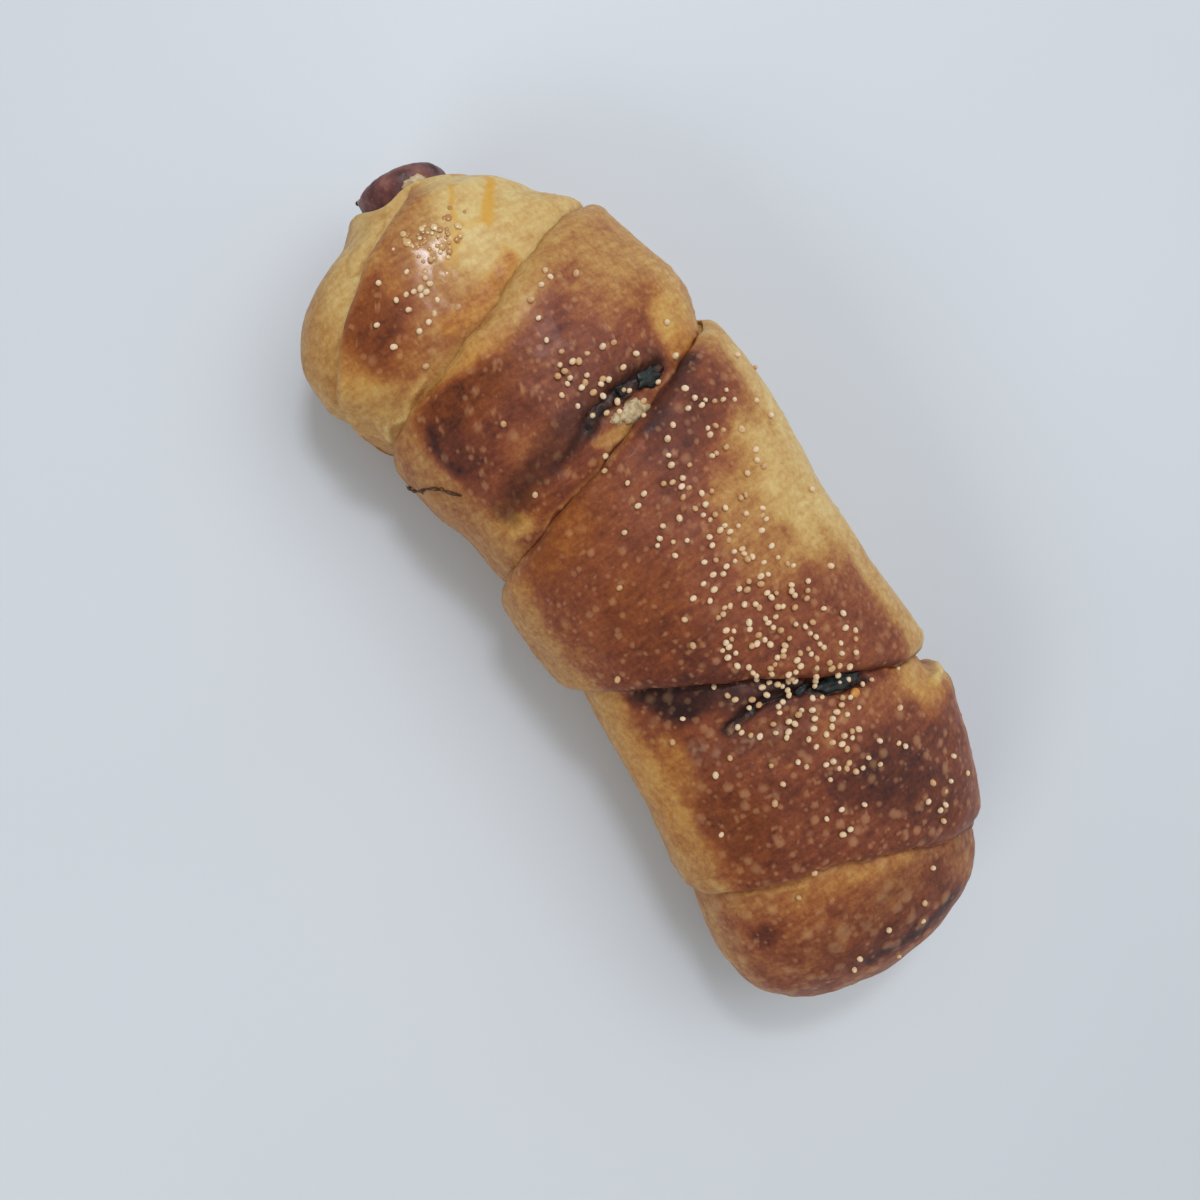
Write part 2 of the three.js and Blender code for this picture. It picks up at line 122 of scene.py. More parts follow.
def start_material(name):
    """An empty material, its node tree and its object coordinates."""
    material = bpy.data.materials.new(name)
    material.use_nodes = True
    tree = material.node_tree
    tree.nodes.clear()
    return material, tree, add(tree, "ShaderNodeTexCoord").outputs["Object"]


def fill_ramp(ramp, stops):
    """Colours on a colour ramp: pairs of place and hex code."""
    while len(ramp.elements) < len(stops):
        ramp.elements.new(0.5)
    for element, (place, code) in zip(ramp.elements, stops):
        element.position, element.color = place, linear(code)


def make_piece(name, points, faces, material, fields=None):
    """A smooth-shaded mesh from points in mm. Fields are numbers carried by its points."""
    mesh = bpy.data.meshes.new(name)
    mesh.from_pydata(((np.reshape(points, (-1, 3)) - MIDDLE) * MM).tolist(), [], faces)
    for field, values in (fields or {}).items():
        mesh.attributes.new(field, "FLOAT", "POINT").data.foreach_set(
            "value", np.ravel(values).astype(np.float32))
    mesh.shade_smooth()
    mesh.materials.append(material)
    piece = bpy.data.objects.new(name, mesh)
    bpy.context.scene.collection.objects.link(piece)
    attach(piece, "root")
    return piece


def tube_faces(rings, sides, start=0):
    """Faces of a tube of closed rings, with a fan at each end to the two points that follow the rings."""
    faces = []
    for k in range(rings - 1):
        row = start + k * sides
        faces += [(row + j, row + (j + 1) % sides, row + sides + (j + 1) % sides, row + sides + j)
                  for j in range(sides)]
    first, last = start + rings * sides, start + rings * sides + 1
    end = start + (rings - 1) * sides
    faces += [(start + (j + 1) % sides, start + j, first) for j in range(sides)]
    faces += [(end + j, end + (j + 1) % sides, last) for j in range(sides)]
    return faces


def ball(subdivisions):
    """Points and faces of a ball of radius 1."""
    mesh = bmesh.new()
    bmesh.ops.create_icosphere(mesh, subdivisions=subdivisions, radius=1)
    points = np.array([v.co for v in mesh.verts])
    faces = [tuple(v.index for v in f.verts) for f in mesh.faces]
    mesh.free()
    return points, faces


def own_lines(corners):
    """Corners of a box, from the frame's metres to mm along the roll's own lines."""
    return [np.array(corner) / MM + MIDDLE for corner in corners]


def joined(parts):
    """The points and faces of several meshes, given in pairs, as one mesh."""
    points, faces, count = [], [], 0
    for part_points, part_faces in parts:
        points.append(part_points)
        faces += [tuple(i + count for i in f) for f in part_faces]
        count += len(part_points)
    return np.concatenate(points), faces


def along_line(line, share):
    """Points on the smooth curve through the line's points, at shares from 0 to 1 of its points."""
    line = np.asarray(line, float)
    slopes = np.gradient(line, axis=0)
    where = np.clip(np.asarray(share, float), 0, 1) * (len(line) - 1)
    i = np.minimum(where.astype(int), len(line) - 2)
    t = (where - i)[..., None]
    return ((2 * t**3 - 3 * t**2 + 1) * line[i] + (t**3 - 2 * t**2 + t) * slopes[i]
            + (3 * t**2 - 2 * t**3) * line[i + 1] + (t**3 - t**2) * slopes[i + 1])


def unit(vectors):
    return vectors / np.linalg.norm(vectors, axis=-1, keepdims=True)


# Distances of the rings from the end that shows: over its rounding, along what shows, and in the dough.
shown = np.concatenate([END_ROUND * (1 - np.cos(np.radians(np.linspace(4, 90, 14)))),
                        np.linspace(END_ROUND + 0.35, SHOWN_LENGTH, 44), np.linspace(*HIDDEN_LENGTHS, 16)])
lengths = np.linalg.norm(np.diff(along_line(SAUSAGE_LINE, np.linspace(0, 1, 400)), axis=0), axis=1)
travelled = np.concatenate([[0], np.cumsum(lengths)])
shares = np.interp(np.minimum(shown, travelled[-1]), travelled, np.linspace(0, 1, 400))
centres = along_line(SAUSAGE_LINE, shares)
ahead = unit(along_line(SAUSAGE_LINE, shares + 0.002) - along_line(SAUSAGE_LINE, shares - 0.002))
across = unit(np.stack([-ahead[:, 1], ahead[:, 0], np.zeros(len(ahead))], 1))
upward = np.cross(ahead, across)
around = np.radians(np.arange(SAUSAGE_SIDES) * 360 / SAUSAGE_SIDES)
full = np.sqrt(np.clip(1 - (1 - np.minimum(shown, END_ROUND) / END_ROUND) ** 2, 0, 1))
radii = SAUSAGE_RADIUS - END_ROUND * (1 - full)
sausage_points = (centres[:, None] + radii[:, None, None]
                  * (across[:, None] * np.cos(around)[:, None] + upward[:, None] * np.sin(around)[:, None]))
folds = grain(sausage_points * [FOLD_STRETCH, 1, 1], FOLD_WIDTH, 3)
puckers = grain(sausage_points, PUCKER_WIDTH, 2)
near_end = 1 - 0.6 * ease(2, 12, shown)[:, None]  # the folds are deepest there
depth = FOLD_DEPTH * near_end * (0.55 + 0.45 * folds) + PUCKER_DEPTH * np.clip(puckers, 0, 1)
outwards = unit(sausage_points - centres[:, None])
sausage_points = sausage_points - outwards * np.clip(depth, 0, None)[..., None]
caps = [centres[0] + ahead[0] * 0.5, centres[-1]]
sausage_points = np.concatenate([sausage_points.reshape(-1, 3), caps])

# The tied end is a small knot of dried casing at the lower corner, with a charred tip.
ball_points, ball_faces = ball(4)
parts = [(sausage_points, tube_faces(len(shown), SAUSAGE_SIDES))]
for *at, radius, _ in KNOTS:
    knot = ball_points * KNOT_SHAPE * radius
    parts.append((knot * (1 + KNOT_LUMPS * grain(knot, 0.8))[:, None] + at, ball_faces))
dried = np.repeat([0] + [dryness for *_, dryness in KNOTS], [len(points) for points, _ in parts])
sausage_points, sausage_faces = joined(parts)
sausage_low, sausage_high = own_lines(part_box("sausage"))
sausage_points = np.clip(sausage_points, sausage_low + CLEAR, sausage_high - CLEAR)

# Smoked casing: thin, tight and waxy. It looks dark red-purple with a soft shine along the folds, and
# pale flecks of fat show through it.
smoked_casing, tree, place = start_material("smoked_casing")
cloud = add(tree, "ShaderNodeTexNoise",
            {"Vector": place, "Scale": 1 / (3.85 * MM), "Detail": 4, "Roughness": 0.6})
meat_tone = add(tree, "ShaderNodeValToRGB", {"Fac": cloud})
fill_ramp(meat_tone.color_ramp, [(0.3, "#3f2320"), (0.5, "#633834"), (0.72, "#8a5a50")])
fleck = add(tree, "ShaderNodeTexVoronoi", {"Vector": place, "Scale": 1 / (1.43 * MM)})
fat = add(tree, "ShaderNodeMapRange",
          {"Value": fleck, "From Min": 0.05, "From Max": 0.22, "To Min": 0.4, "To Max": 0})
with_fat = add(tree, "ShaderNodeMixRGB", {"Fac": fat, "Color1": meat_tone, "Color2": linear("#96706a")})
# The knots of casing go from tan to charred.
dry = add(tree, "ShaderNodeAttribute", attribute_name="dried").outputs["Fac"]
dry_step = add(tree, "ShaderNodeMath", {0: dry, 1: 0.4, 2: cloud}, operation="MULTIPLY_ADD")
dry_tone = add(tree, "ShaderNodeValToRGB", {"Fac": dry_step})
fill_ramp(dry_tone.color_ramp, [(0.72, "#b39a78"), (0.9, "#93785a"), (1.0, "#1d1310")])
casing_colour = add(tree, "ShaderNodeMixRGB", {"Fac": dry, "Color1": with_fat, "Color2": dry_tone})
pucker = add(tree, "ShaderNodeTexNoise", {"Vector": place, "Scale": 1 / (0.714 * MM), "Detail": 3})
casing_bump = add(tree, "ShaderNodeBump", {"Height": pucker, "Strength": 0.6, "Distance": 0.18 * MM})
shader = add(tree, "ShaderNodeBsdfPrincipled",
             {"Base Color": casing_colour, "Roughness": 0.5, "IOR": 1.45, "Coat Weight": 0.1,
              "Coat Roughness": 0.3, "Normal": casing_bump})
add(tree, "ShaderNodeOutputMaterial", {"Surface": shader})

sausage = make_piece("smoked_sausage", sausage_points, sausage_faces, smoked_casing, {"dried": dried})
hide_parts("sausage")

# ---------------------------------------------------------------- the wound dough
# One long tapering sheet of yeast dough, wound round the sausage in six turns that lap over each other
# from both ends towards the middle, egg glazed, and baked until its upper side is brown. An angle goes
# round each section from its top (0) over the +Y flank (90) to the underside (180).

# x, y of the -Y flank, y of the +Y flank, top, height of the widest line, bottom
STATIONS = np.array([
    [-87, -15.2, 12.6, 33.5, 21, 8.5], [-83.5, -19.5, 17.6, 37, 21, 3], [-78.5, -29.6, 22, 39.3, 20.8, 0],
    [-72, -38.6, 29.3, 41, 20.4, -1.5], [-64, -40.4, 31.2, 42.5, 20, -2],
    [-52, -34.5, 34.8, 43.8, 19.5, -2],
    [-35, -32.3, 37.2, 46, 19.5, -2], [-15, -30.6, 38, 47, 19.5, -2], [5, -30, 36.3, 47.5, 19.5, -2],
    [25, -29.5, 36.2, 47, 19.5, -2], [45, -30.5, 37.3, 46, 19.5, -2], [65, -34.3, 36.3, 43.5, 19, -2],
    [80, -36.5, 31, 41, 18.5, -2], [92, -38.9, 28.4, 39, 18, -2], [102, -38, 28, 38, 18, -2],
])
TOP_POWER, BOTTOM_POWER = 2.15, 2.8
# The mouth's rim leans with the sausage, and a notch in it marks where the second turn begins.
MOUTH = {"x": -87, "y": -1.6, "z": 21, "lean_start": -62, "lean": 0.2, "lean_about": 1,
         "notch": 2.6, "notch_angle": -33, "notch_spread": 20}
SHUT_END = {"start": 74, "skew": 1, "length": 27.5, "power": 2.3, "y": -3, "z": 17}

# Free edges of the sheet: x over the top, on the +Y flank, underneath and on the -Y flank, a twist, on
# which side of it the upper layer lies (1: towards +X), and how far the edge laps over its crease.
EDGES = [
    {"top": -87, "right": -92, "under": -70, "left": -56.5, "twist": 4.5, "upper": 1, "lap": 0.7},
    {"top": -58.7, "right": -70.3, "under": -57.5, "left": -48.4, "twist": 1.8, "upper": 1, "lap": 0.45},
    {"top": -24.4, "right": -37.1, "under": -24.5, "left": -13.6, "twist": 2.2, "upper": 1, "lap": 0.8},
    {"top": 31.5, "right": 48.3, "under": 30, "left": 12.8, "twist": -0.6, "upper": -1, "lap": 1.4},
    {"top": 72, "right": 86.7, "under": 71, "left": 61, "twist": -1.3, "upper": -1, "lap": 0.45},
]
# how far each turn stands above the mean form at its -X edge, at its +X edge, and its swell between them
TURNS = [(-1, -1.6, 0), (0.9, -1.2, 0.6), (1.2, -1.4, 0.8), (1.5, 1.5, 0.4), (-1.4, 1, 0.8), (-1.3, 0, 0.4)]
EDGE_NOSE = 3.6     # width of the rounded edge of the sheet
EDGE_GAP = 1.6      # depth of the crease under it
FOOT_DIP = 0.9      # how far the lower layer dips into the crease
FOOT_WIDTH = 2.2
RELIEF_FULL, RELIEF_GONE = 98, 126  # the layers are pressed flat between these angles
# swellings and dents in the rise of the dough: x, angle, half length, half angle, height
SWELLS = [(-45, 80, 7, 32, 1.4), (-25, -88, 7, 30, -1.5), (-4, -88, 9, 34, 0.2), (50.5, 80, 2.2, 22, -1.1),
          (55.5, 78, 4, 24, 1.7), (-58, -85, 3.5, 30, -0.7), (-66, 5, 6, 28, -1.1)]


def along_stations(where, column):
    """A smooth curve through the stations' column."""
    x, y = STATIONS[:, 0], STATIONS[:, column]
    slope = np.gradient(y, x)
    i = np.clip(np.searchsorted(x, where) - 1, 0, len(x) - 2)
    h = x[i + 1] - x[i]
    t = (where - x[i]) / h
    return ((2 * t**3 - 3 * t**2 + 1) * y[i] + (t**3 - 2 * t**2 + t) * h * slope[i]
            + (3 * t**2 - 2 * t**3) * y[i + 1] + (t**3 - t**2) * h * slope[i + 1])


def edge_x(number, angle):
    """Where a free edge lies at an angle. It wavers a little, as a hand-rolled sheet does."""
    e, a = EDGES[number], np.radians(angle)
    waver = 0.22 * np.sin(a * 9 + number * 2.1) + 0.14 * np.sin(a * 21 + number)
    return ((e["top"] + e["under"] + e["right"] + e["left"]) / 4
            + (e["top"] - e["under"]) / 2 * np.cos(a) + (e["right"] - e["left"]) / 2 * np.sin(a)
            + (e["top"] + e["under"] - e["right"] - e["left"]) / 4 * np.cos(2 * a)
            + e["twist"] * np.sin(2 * a) + waver)


def turn_of(x, angle):
    """The number of the turn at x and angle, the share of the way across it, and x of every edge there."""
    lines = np.stack([edge_x(k, angle) + 0 * x for k in range(len(EDGES))])
    number = (x >= lines).sum(0)
    mouth, shut_end = (np.full((1,) + lines.shape[1:], float(end))
                       for end in (MOUTH["x"], SHUT_END["start"] + SHUT_END["length"]))
    bounds = np.concatenate([mouth, lines, shut_end])
    low = np.take_along_axis(bounds, number[None], 0)[0]
    high = np.take_along_axis(bounds, number[None] + 1, 0)[0]
    return number, np.clip((x - low) / (high - low + 1e-9), 0, 1), lines


def pressed(angle):
    """1 where the layers stand free and 0 where they are pressed flat on the tray."""
    return 1 - ease(RELIEF_FULL, RELIEF_GONE, np.abs(angle))


def relief(x, angle):
    """How far the surface stands out from the mean form."""
    number, share, lines = turn_of(x, angle)
    start, stop, swell = (np.array(TURNS, float)[number, c] for c in range(3))
    height = start + (stop - start) * share + swell * np.sin(np.pi * share)
    for k, e in enumerate(EDGES):
        past = e["upper"] * (x - lines[k])
        nose = np.sqrt(np.clip(1 - (1 - past / EDGE_NOSE) ** 2, 0, 1))
        height = np.where((past >= 0) & (past < EDGE_NOSE), -EDGE_GAP + (height + EDGE_GAP) * nose, height)
        height = height - np.where(past < 0, FOOT_DIP * np.exp(np.minimum(past, 0) / FOOT_WIDTH), 0)
    height = height * pressed(angle) * ease(MOUTH["x"], MOUTH["x"] + 5, x)
    for sx, sa, length, spread, rise in SWELLS:
        height = height + rise * np.exp(-(((x - sx) / length) ** 2 + ((angle - sa) / spread) ** 2))
    return height


def on_form(x, angle, height):
    """The point at x and angle, at that height above the mean form."""
    left, right, top, wide, bottom = (along_stations(x, c) for c in range(1, 6))
    s, c = np.sin(np.radians(angle)), np.cos(np.radians(angle))
    power = np.where(c >= 0, TOP_POWER, BOTTOM_POWER)
    rise = np.where(c >= 0, top - wide, wide - bottom)
    radius = ((np.abs(s) / ((right - left) / 2)) ** power + (np.abs(c) / rise) ** power) ** (-1 / power)
    close_from = SHUT_END["start"] + SHUT_END["skew"] * s
    t = np.clip((x - close_from) / (SHUT_END["start"] + SHUT_END["length"] - close_from), 0, 1)
    drift = ease(0, 1, t)
    radius = (radius + height) * (1 - t ** SHUT_END["power"]) ** (1 / SHUT_END["power"])
    y = (left + right) / 2 * (1 - drift) + SHUT_END["y"] * drift + radius * s
    z = wide * (1 - drift) + SHUT_END["z"] * drift + radius * c
    towards_mouth = ease(0, 1, (MOUTH["lean_start"] - x) / (MOUTH["lean_start"] - MOUTH["x"]))
    return np.stack([x + MOUTH["lean"] * towards_mouth * (y - MOUTH["lean_about"]), y, z], -1)


def on_dough(x, angle, lift=0.0):
    """The point on the crust at x and angle, raised by lift."""
    x, angle = np.asarray(x, float), np.asarray(angle, float)
    base = on_form(x, angle, relief(x, angle))
    return base + outward(x, angle) * np.asarray(lift)[..., None] if np.any(lift) else base


def outward(x, angle):
    """Outward direction of the crust there, from points a little to each side in mm and in degrees."""
    x, angle = np.asarray(x, float), np.asarray(angle, float)
    back, front, low, high = x - 0.8, x + 0.8, angle - 1.5, angle + 1.5
    ahead = on_form(front, angle, relief(front, angle)) - on_form(back, angle, relief(back, angle))
    round_it = on_form(x, high, relief(x, high)) - on_form(x, low, relief(x, low))
    return unit(np.cross(ahead, round_it))


# Columns of the crust: about 0.7 mm apart where it shows, and wider apart underneath.
SHOWN_REACH, SHOWN_COLUMNS, UNDER_COLUMNS = 128, 214, 16
column_angles = np.concatenate([
    np.linspace(-SHOWN_REACH, SHOWN_REACH, SHOWN_COLUMNS),
    np.linspace(SHOWN_REACH, 360 - SHOWN_REACH, UNDER_COLUMNS + 2)[1:-1]])
column_angles = np.where(column_angles > 180, column_angles - 360, column_angles)

# Rows run along the edges of the sheet. At each edge they come up to the crease on the lower layer, go
# in under the lap, turn back along its underside, and go over its rounded nose.
LOWER = [6, 5.3, 4.7, 4.1, 3.5, 3, 2.5, 2, 1.6, 1.2, 0.85, 0.55, 0.3, 0.1]   # mm before the edge
SLOT = [0.35, 0.75, 1]                 # shares of the lap, along the lower layer
UNDERSIDE = [0.7, 0.35, 0.1]           # shares of the lap, back along its underside
OVER = [0, 0.06, 0.2, 0.42, 0.72, 1.1, 1.55, 2.05, 2.6, 3.1, 3.6]            # mm past the edge
TUCK = 0.25                            # how far the lap's underside lies below its top
VANISHED = (0.02, 0.3)                 # where the lap is pressed flat, its rows go on from here to here
ROW_STEP = 0.82                        # mm between the rows from edge to edge
MOUTH_STEPS = 26                       # rows from the rim of the mouth to the first edge
END_ROWS, END_REACH = 46, 89.2         # rows over the shut end, and the last one's angle from its start
RIM_ROOM, RIM_GAP = 5, 0.8             # how far from the rim the first edge and its first row keep

mouth_line = MOUTH["x"] + MOUTH["notch"] * np.exp(
    -((column_angles - MOUTH["notch_angle"]) / MOUTH["notch_spread"]) ** 2)


def edge_rows(number):
    """Rows of one edge from the lower layer over to the upper one: x and height at each column angle."""
    e = EDGES[number]
    line = edge_x(number, column_angles)
    free = pressed(column_angles)
    room = np.ones_like(line)
    if number == 0:  # this edge runs out into the mouth
        line = np.maximum(line, MOUTH["x"] + RIM_ROOM)
        free = free * ease(MOUTH["x"] + RIM_ROOM - 0.2, MOUTH["x"] + RIM_ROOM + 4, edge_x(0, column_angles))
        room = np.minimum(1, (line - mouth_line - RIM_GAP) / LOWER[0])
    low = relief(line - e["upper"] * VANISHED[0], column_angles)
    high = relief(line + e["upper"] * VANISHED[0], column_angles)
    shut = high - TUCK * free
    rows = []
    for d in LOWER:
        x = line - e["upper"] * d * room
        rows.append((x, relief(x, column_angles)))
    flat = np.linspace(*VANISHED, len(SLOT) + len(UNDERSIDE))
    for n, s in enumerate(SLOT + UNDERSIDE):
        x = line + e["upper"] * (free * s * e["lap"] + (1 - free) * flat[n])
        inside = low + (shut - low) * s ** 2 if n < len(SLOT) else high + (shut - high) * s
        rows.append((x, free * inside + (1 - free) * relief(x, column_angles)))
    for n, d in enumerate(OVER):
        d = free * d + (1 - free) * max(d, VANISHED[1] + 0.04 + 0.05 * n)
        x = line + e["upper"] * d
        rows.append((x, relief(x, column_angles)))
    return rows if e["upper"] > 0 else rows[::-1]


rows = [(mouth_line, relief(mouth_line, column_angles))]
for number in range(len(EDGES)):
    edge = edge_rows(number)
    start, stop = rows[-1][0], edge[0][0]
    steps = MOUTH_STEPS if number == 0 else max(2, round(float(np.max(stop - start)) / ROW_STEP))
    for n in range(1, steps):
        x = start + (stop - start) * n / steps
        rows.append((x, relief(x, column_angles)))
    rows += edge
start = rows[-1][0]
for share in np.sin(np.radians(np.linspace(0, END_REACH, END_ROWS)))[1:]:
    x = start + (SHUT_END["start"] + SHUT_END["length"] - start) * share
    rows.append((x, relief(x, column_angles)))

grid_x = np.array([r[0] for r in rows])
grid_angle = np.broadcast_to(column_angles, grid_x.shape)
crust = on_form(grid_x, grid_angle, np.array([r[1] for r in rows]))


def grid_normals(points):
    """Outward directions at the points of a grid whose columns close on themselves."""
    down = np.gradient(points, axis=0)
    round_it = np.roll(points, -1, 1) - np.roll(points, 1, 1)
    normals = np.cross(down, round_it)
    return normals / np.maximum(np.linalg.norm(normals, axis=-1, keepdims=True), 1e-9)


number, _, lines = turn_of(grid_x, grid_angle)
free = pressed(grid_angle)
form_point = crust

# Lumps of the rise, and the fine slack skin over them.
LUMP_HEIGHT, LUMP_WIDTH = 0.42, 11
SLACK_HEIGHT, SLACK_WIDTH = 0.12, 3.2
lumps = LUMP_HEIGHT * grain(form_point, LUMP_WIDTH, 2) + SLACK_HEIGHT * grain(form_point, SLACK_WIDTH, 2)

# Shapes laid on the crust are soft spots and streaks. Their outlines wander as the rise and the heat did.
WANDER_WIDTH, SPOT_WANDER, SIDE_WANDER = 7, 0.28, 5          # of spots in shares, of sides in degrees
RAGGED_WIDTH, STREAK_RAGGED, FLAKE_RAGGED = 1.7, 0.27, 0.495
wander = grain(form_point, WANDER_WIDTH, 3)
ragged = grain(form_point, RAGGED_WIDTH, 2)
ROUND_MM = 0.6  # one degree round the roll is about this long


def spot(x, angle, length, spread, slant, soft):
    """1 inside a soft ellipse on the crust and 0 outside. It slants by so many mm with each degree."""
    u = (grid_x - x - slant * (grid_angle - angle)) / length
    v = (grid_angle - angle) / spread
    return 1 - ease(1 - soft, 1 + soft, np.hypot(u, v) + SPOT_WANDER * wander)


def streak(path, half_width, soft):
    """1 along a path of x and angle, and 0 away from it."""
    away = np.full_like(grid_x, 1e9)
    for x, angle in along_line(path, np.linspace(0, 1, 14 * len(path))):
        away = np.minimum(away, np.hypot(grid_x - x, (grid_angle - angle) * ROUND_MM))
    return 1 - ease(half_width - soft, half_width + soft, away + STREAK_RAGGED * ragged)


# Splits that tore open over the filling: x and angle along each, and half width.
SPLITS = {
    "filling_upper": {
        "line": [[-31.6, 33], [-31.3, 15], [-30.6, -4], [-27.4, -24], [-25.6, -42], [-24.4, -51]],
        "half_width": 2.2},
    "filling_lower": {
        "line": [[39.6, 27], [38, 12], [36.2, -4], [34.2, -20], [33.6, -34], [34, -42]],
        "half_width": 2.4},
}


def split_width(split, share):
    """Half the width of a split at a share of its length: narrower towards both of its ends."""
    return split["half_width"] * (0.3 + 0.7 * np.sin(np.pi * (0.08 + 0.84 * share)))


def near_split(split, points):
    """Distance to a split's line less its half width there, in mm: negative inside it."""
    shares = np.linspace(0, 1, 60)
    line = on_dough(*along_line(split["line"], shares).T)
    best = np.full(points.shape[:-1], 1e9)
    for centre, width in zip(line, split_width(split, shares)):
        best = np.minimum(best, np.linalg.norm(points - centre, axis=-1) - width)
    return best


# The torn skin has sunk over these stretches of the splits: turn, path, half width, softness and depth.
TORN_OPEN = [
    (2, [[-31.4, 30], [-32, 20], [-32, 8]], 2.1, 0.9, 1.5),
    (2, [[-32.2, 10], [-31.4, -2], [-29.8, -12]], 1.6, 0.9, 1.3),
    (2, [[-30, -10], [-27.4, -21], [-26, -29]], 1.1, 0.8, 1.1),
    (2, [[-28.4, -32], [-26.6, -44], [-25.4, -52]], 1.8, 1.5, 0.3),
    (4, [[40, 27], [38, 16], [35.6, 6]], 2, 0.8, 1.5),
    (4, [[36, 6], [33.2, -6], [32, -18], [32.8, -32]], 0.9, 0.7, 1.5),
    (4, [[39, -4], [36.4, -18], [35, -30]], 1.6, 1.2, 0.4),
]
trough = np.zeros_like(grid_x)
for turn, path, half_width, soft, deep in TORN_OPEN:
    trough = np.where(number == turn, np.minimum(trough, -deep * streak(path, half_width, soft)), trough)

# Folds of slack skin: turn, path, half width, softness and height.
FOLDS = [
    (0, [[-81.5, -32], [-78.4, -38], [-76, -46], [-76.8, -51], [-79.5, -52]], 0.35, 0.5, -0.5),
    (0, [[-80.5, -33], [-77.6, -39], [-75, -46], [-75.6, -53]], 0.5, 0.6, 0.35),
    (1, [[-50.8, -80], [-52.6, -72], [-51.4, -66], [-53.4, -58], [-54.6, -48]], 0.5, 0.5, 0.6),
    (1, [[-52.4, -78], [-54.4, -71], [-53.2, -64]], 0.4, 0.5, 0.4),
    (1, [[-74.4, 18], [-72.8, 25]], 0.5, 0.5, 0.3),
    (2, [[-26.2, -50], [-24.4, -53], [-25, -57], [-27.2, -55], [-26.6, -51]], 0.35, 0.4, 0.35),
    (4, [[61, -66], [63.4, -52], [66, -38], [68.4, -24]], 0.35, 0.4, 0.3),
    (4, [[52.8, 62], [53.2, 78], [53.4, 94]], 0.8, 0.6, 1),
    (5, [[63.8, -66], [66, -52], [68.6, -38]], 0.35, 0.4, 0.35),
    (5, [[65.5, -70], [67.8, -56]], 0.3, 0.4, 0.3),
]
folds = np.zeros_like(grid_x)
for turn, path, half_width, soft, height in FOLDS:
    folds = np.where(number == turn, folds + height * streak(path, half_width, soft), folds)

# Blisters: low domes that rose under the glaze and stay paler than the crust round them. A shallow
# moat runs round each.
BLISTERS = {"draw": 11, "count": 1500, "from": -80, "to": 98, "reach": 88,
            "smallest": 0.42, "largest": 1.15, "height": 0.16}
BLISTER_SHARE = (0.15, 0.4, 0.75, 0.6, 0.7, 0.55)     # how many of them each turn keeps
BLISTER_SIZE = (0.8, 0.85, 0.9, 0.85, 1.1, 1.6)       # and their size there
DOME_EDGE, MOAT_AT, MOAT_WIDTH, MOAT_DEPTH = (0.45, 1.15), 1.3, 0.25, 0.3  # shares of a blister's size
draws = np.random.default_rng(BLISTERS["draw"])
blister = np.zeros_like(grid_x)
for _ in range(BLISTERS["count"]):
    bx = draws.uniform(BLISTERS["from"], BLISTERS["to"])
    ba = draws.uniform(-BLISTERS["reach"], BLISTERS["reach"])
    turn = int(turn_of(np.array(bx), np.array(ba))[0])
    size = BLISTERS["smallest"] + (BLISTERS["largest"] - BLISTERS["smallest"]) * draws.random() ** 2
    size *= BLISTER_SIZE[turn]
    if draws.random() > BLISTER_SHARE[turn]:
        continue
    centre = on_dough(bx, ba)
    close = np.abs(grid_x - bx) < 4
    away = np.linalg.norm(form_point[close] - centre, axis=-1) / size
    dome = 1 - ease(*DOME_EDGE, away) - MOAT_DEPTH * np.exp(-((away - MOAT_AT) / MOAT_WIDTH) ** 2)
    blister[close] = np.where(dome > 0, np.maximum(blister[close], dome), blister[close] + dome)
blister = np.clip(blister, -MOAT_DEPTH, 1)

# Torn skin of the glaze stands up in thin flakes beside the lower split. Their grey-brown colour on the
# crust is a painted sheen.
TORN = [  # x, angle, half sizes
    (33.2, -47, 2.8, 4), (34.8, -42, 1.5, 6), (37, -31, 1.1, 6), (38.6, -19, 1.2, 7),
]
FLAKE_HEIGHT = 0.42
flakes_and_sheen = np.zeros_like(grid_x)
for x, angle, length, spread in TORN:
    reach = np.hypot((grid_x - x) / length, (grid_angle - angle) / spread) + FLAKE_RAGGED * ragged
    flakes_and_sheen = np.maximum(flakes_and_sheen, 1 - ease(0.6, 1.1, reach))
flakes_and_sheen = flakes_and_sheen * ease(-0.3, 0.35, grain(form_point, 1.3, 2))

# Where the sheet was pinched along an edge its skin lies in fine creases: edge, angle and half angle.
PINCHED = [(1, -62, 26), (4, -48, 30)]
CREASE_DEPTH, CREASE_WIDTH, CREASE_STRETCH, CREASED = 0.26, 0.9, 0.08, 3.2
creases = np.zeros_like(grid_x)
for k, side, reach in PINCHED:
    past = grid_x - lines[k]
    streaks = grain(np.stack([past, grid_angle * CREASE_STRETCH, 0 * past + k * 9], -1), CREASE_WIDTH, 2)
    near = np.exp(-(past / CREASED) ** 2 - ((grid_angle - side) / reach) ** 2)
    creases = creases + CREASE_DEPTH * streaks * near * (np.abs(past) > 0.4)

skin_height = lumps + trough + folds + BLISTERS["height"] * blister + FLAKE_HEIGHT * flakes_and_sheen + creases
crust = crust + grid_normals(form_point) * (free * skin_height)[..., None]
crust[..., 2] = np.maximum(crust[..., 2], 0)


def lay(field, turn, shape, level):
    """Lays a level over a field, on one turn: in a spot or along a streak."""
    weight = spot(*shape) if len(shape) == 6 else streak(*shape)
    return np.where(number == turn, field + (level - field) * weight, field)


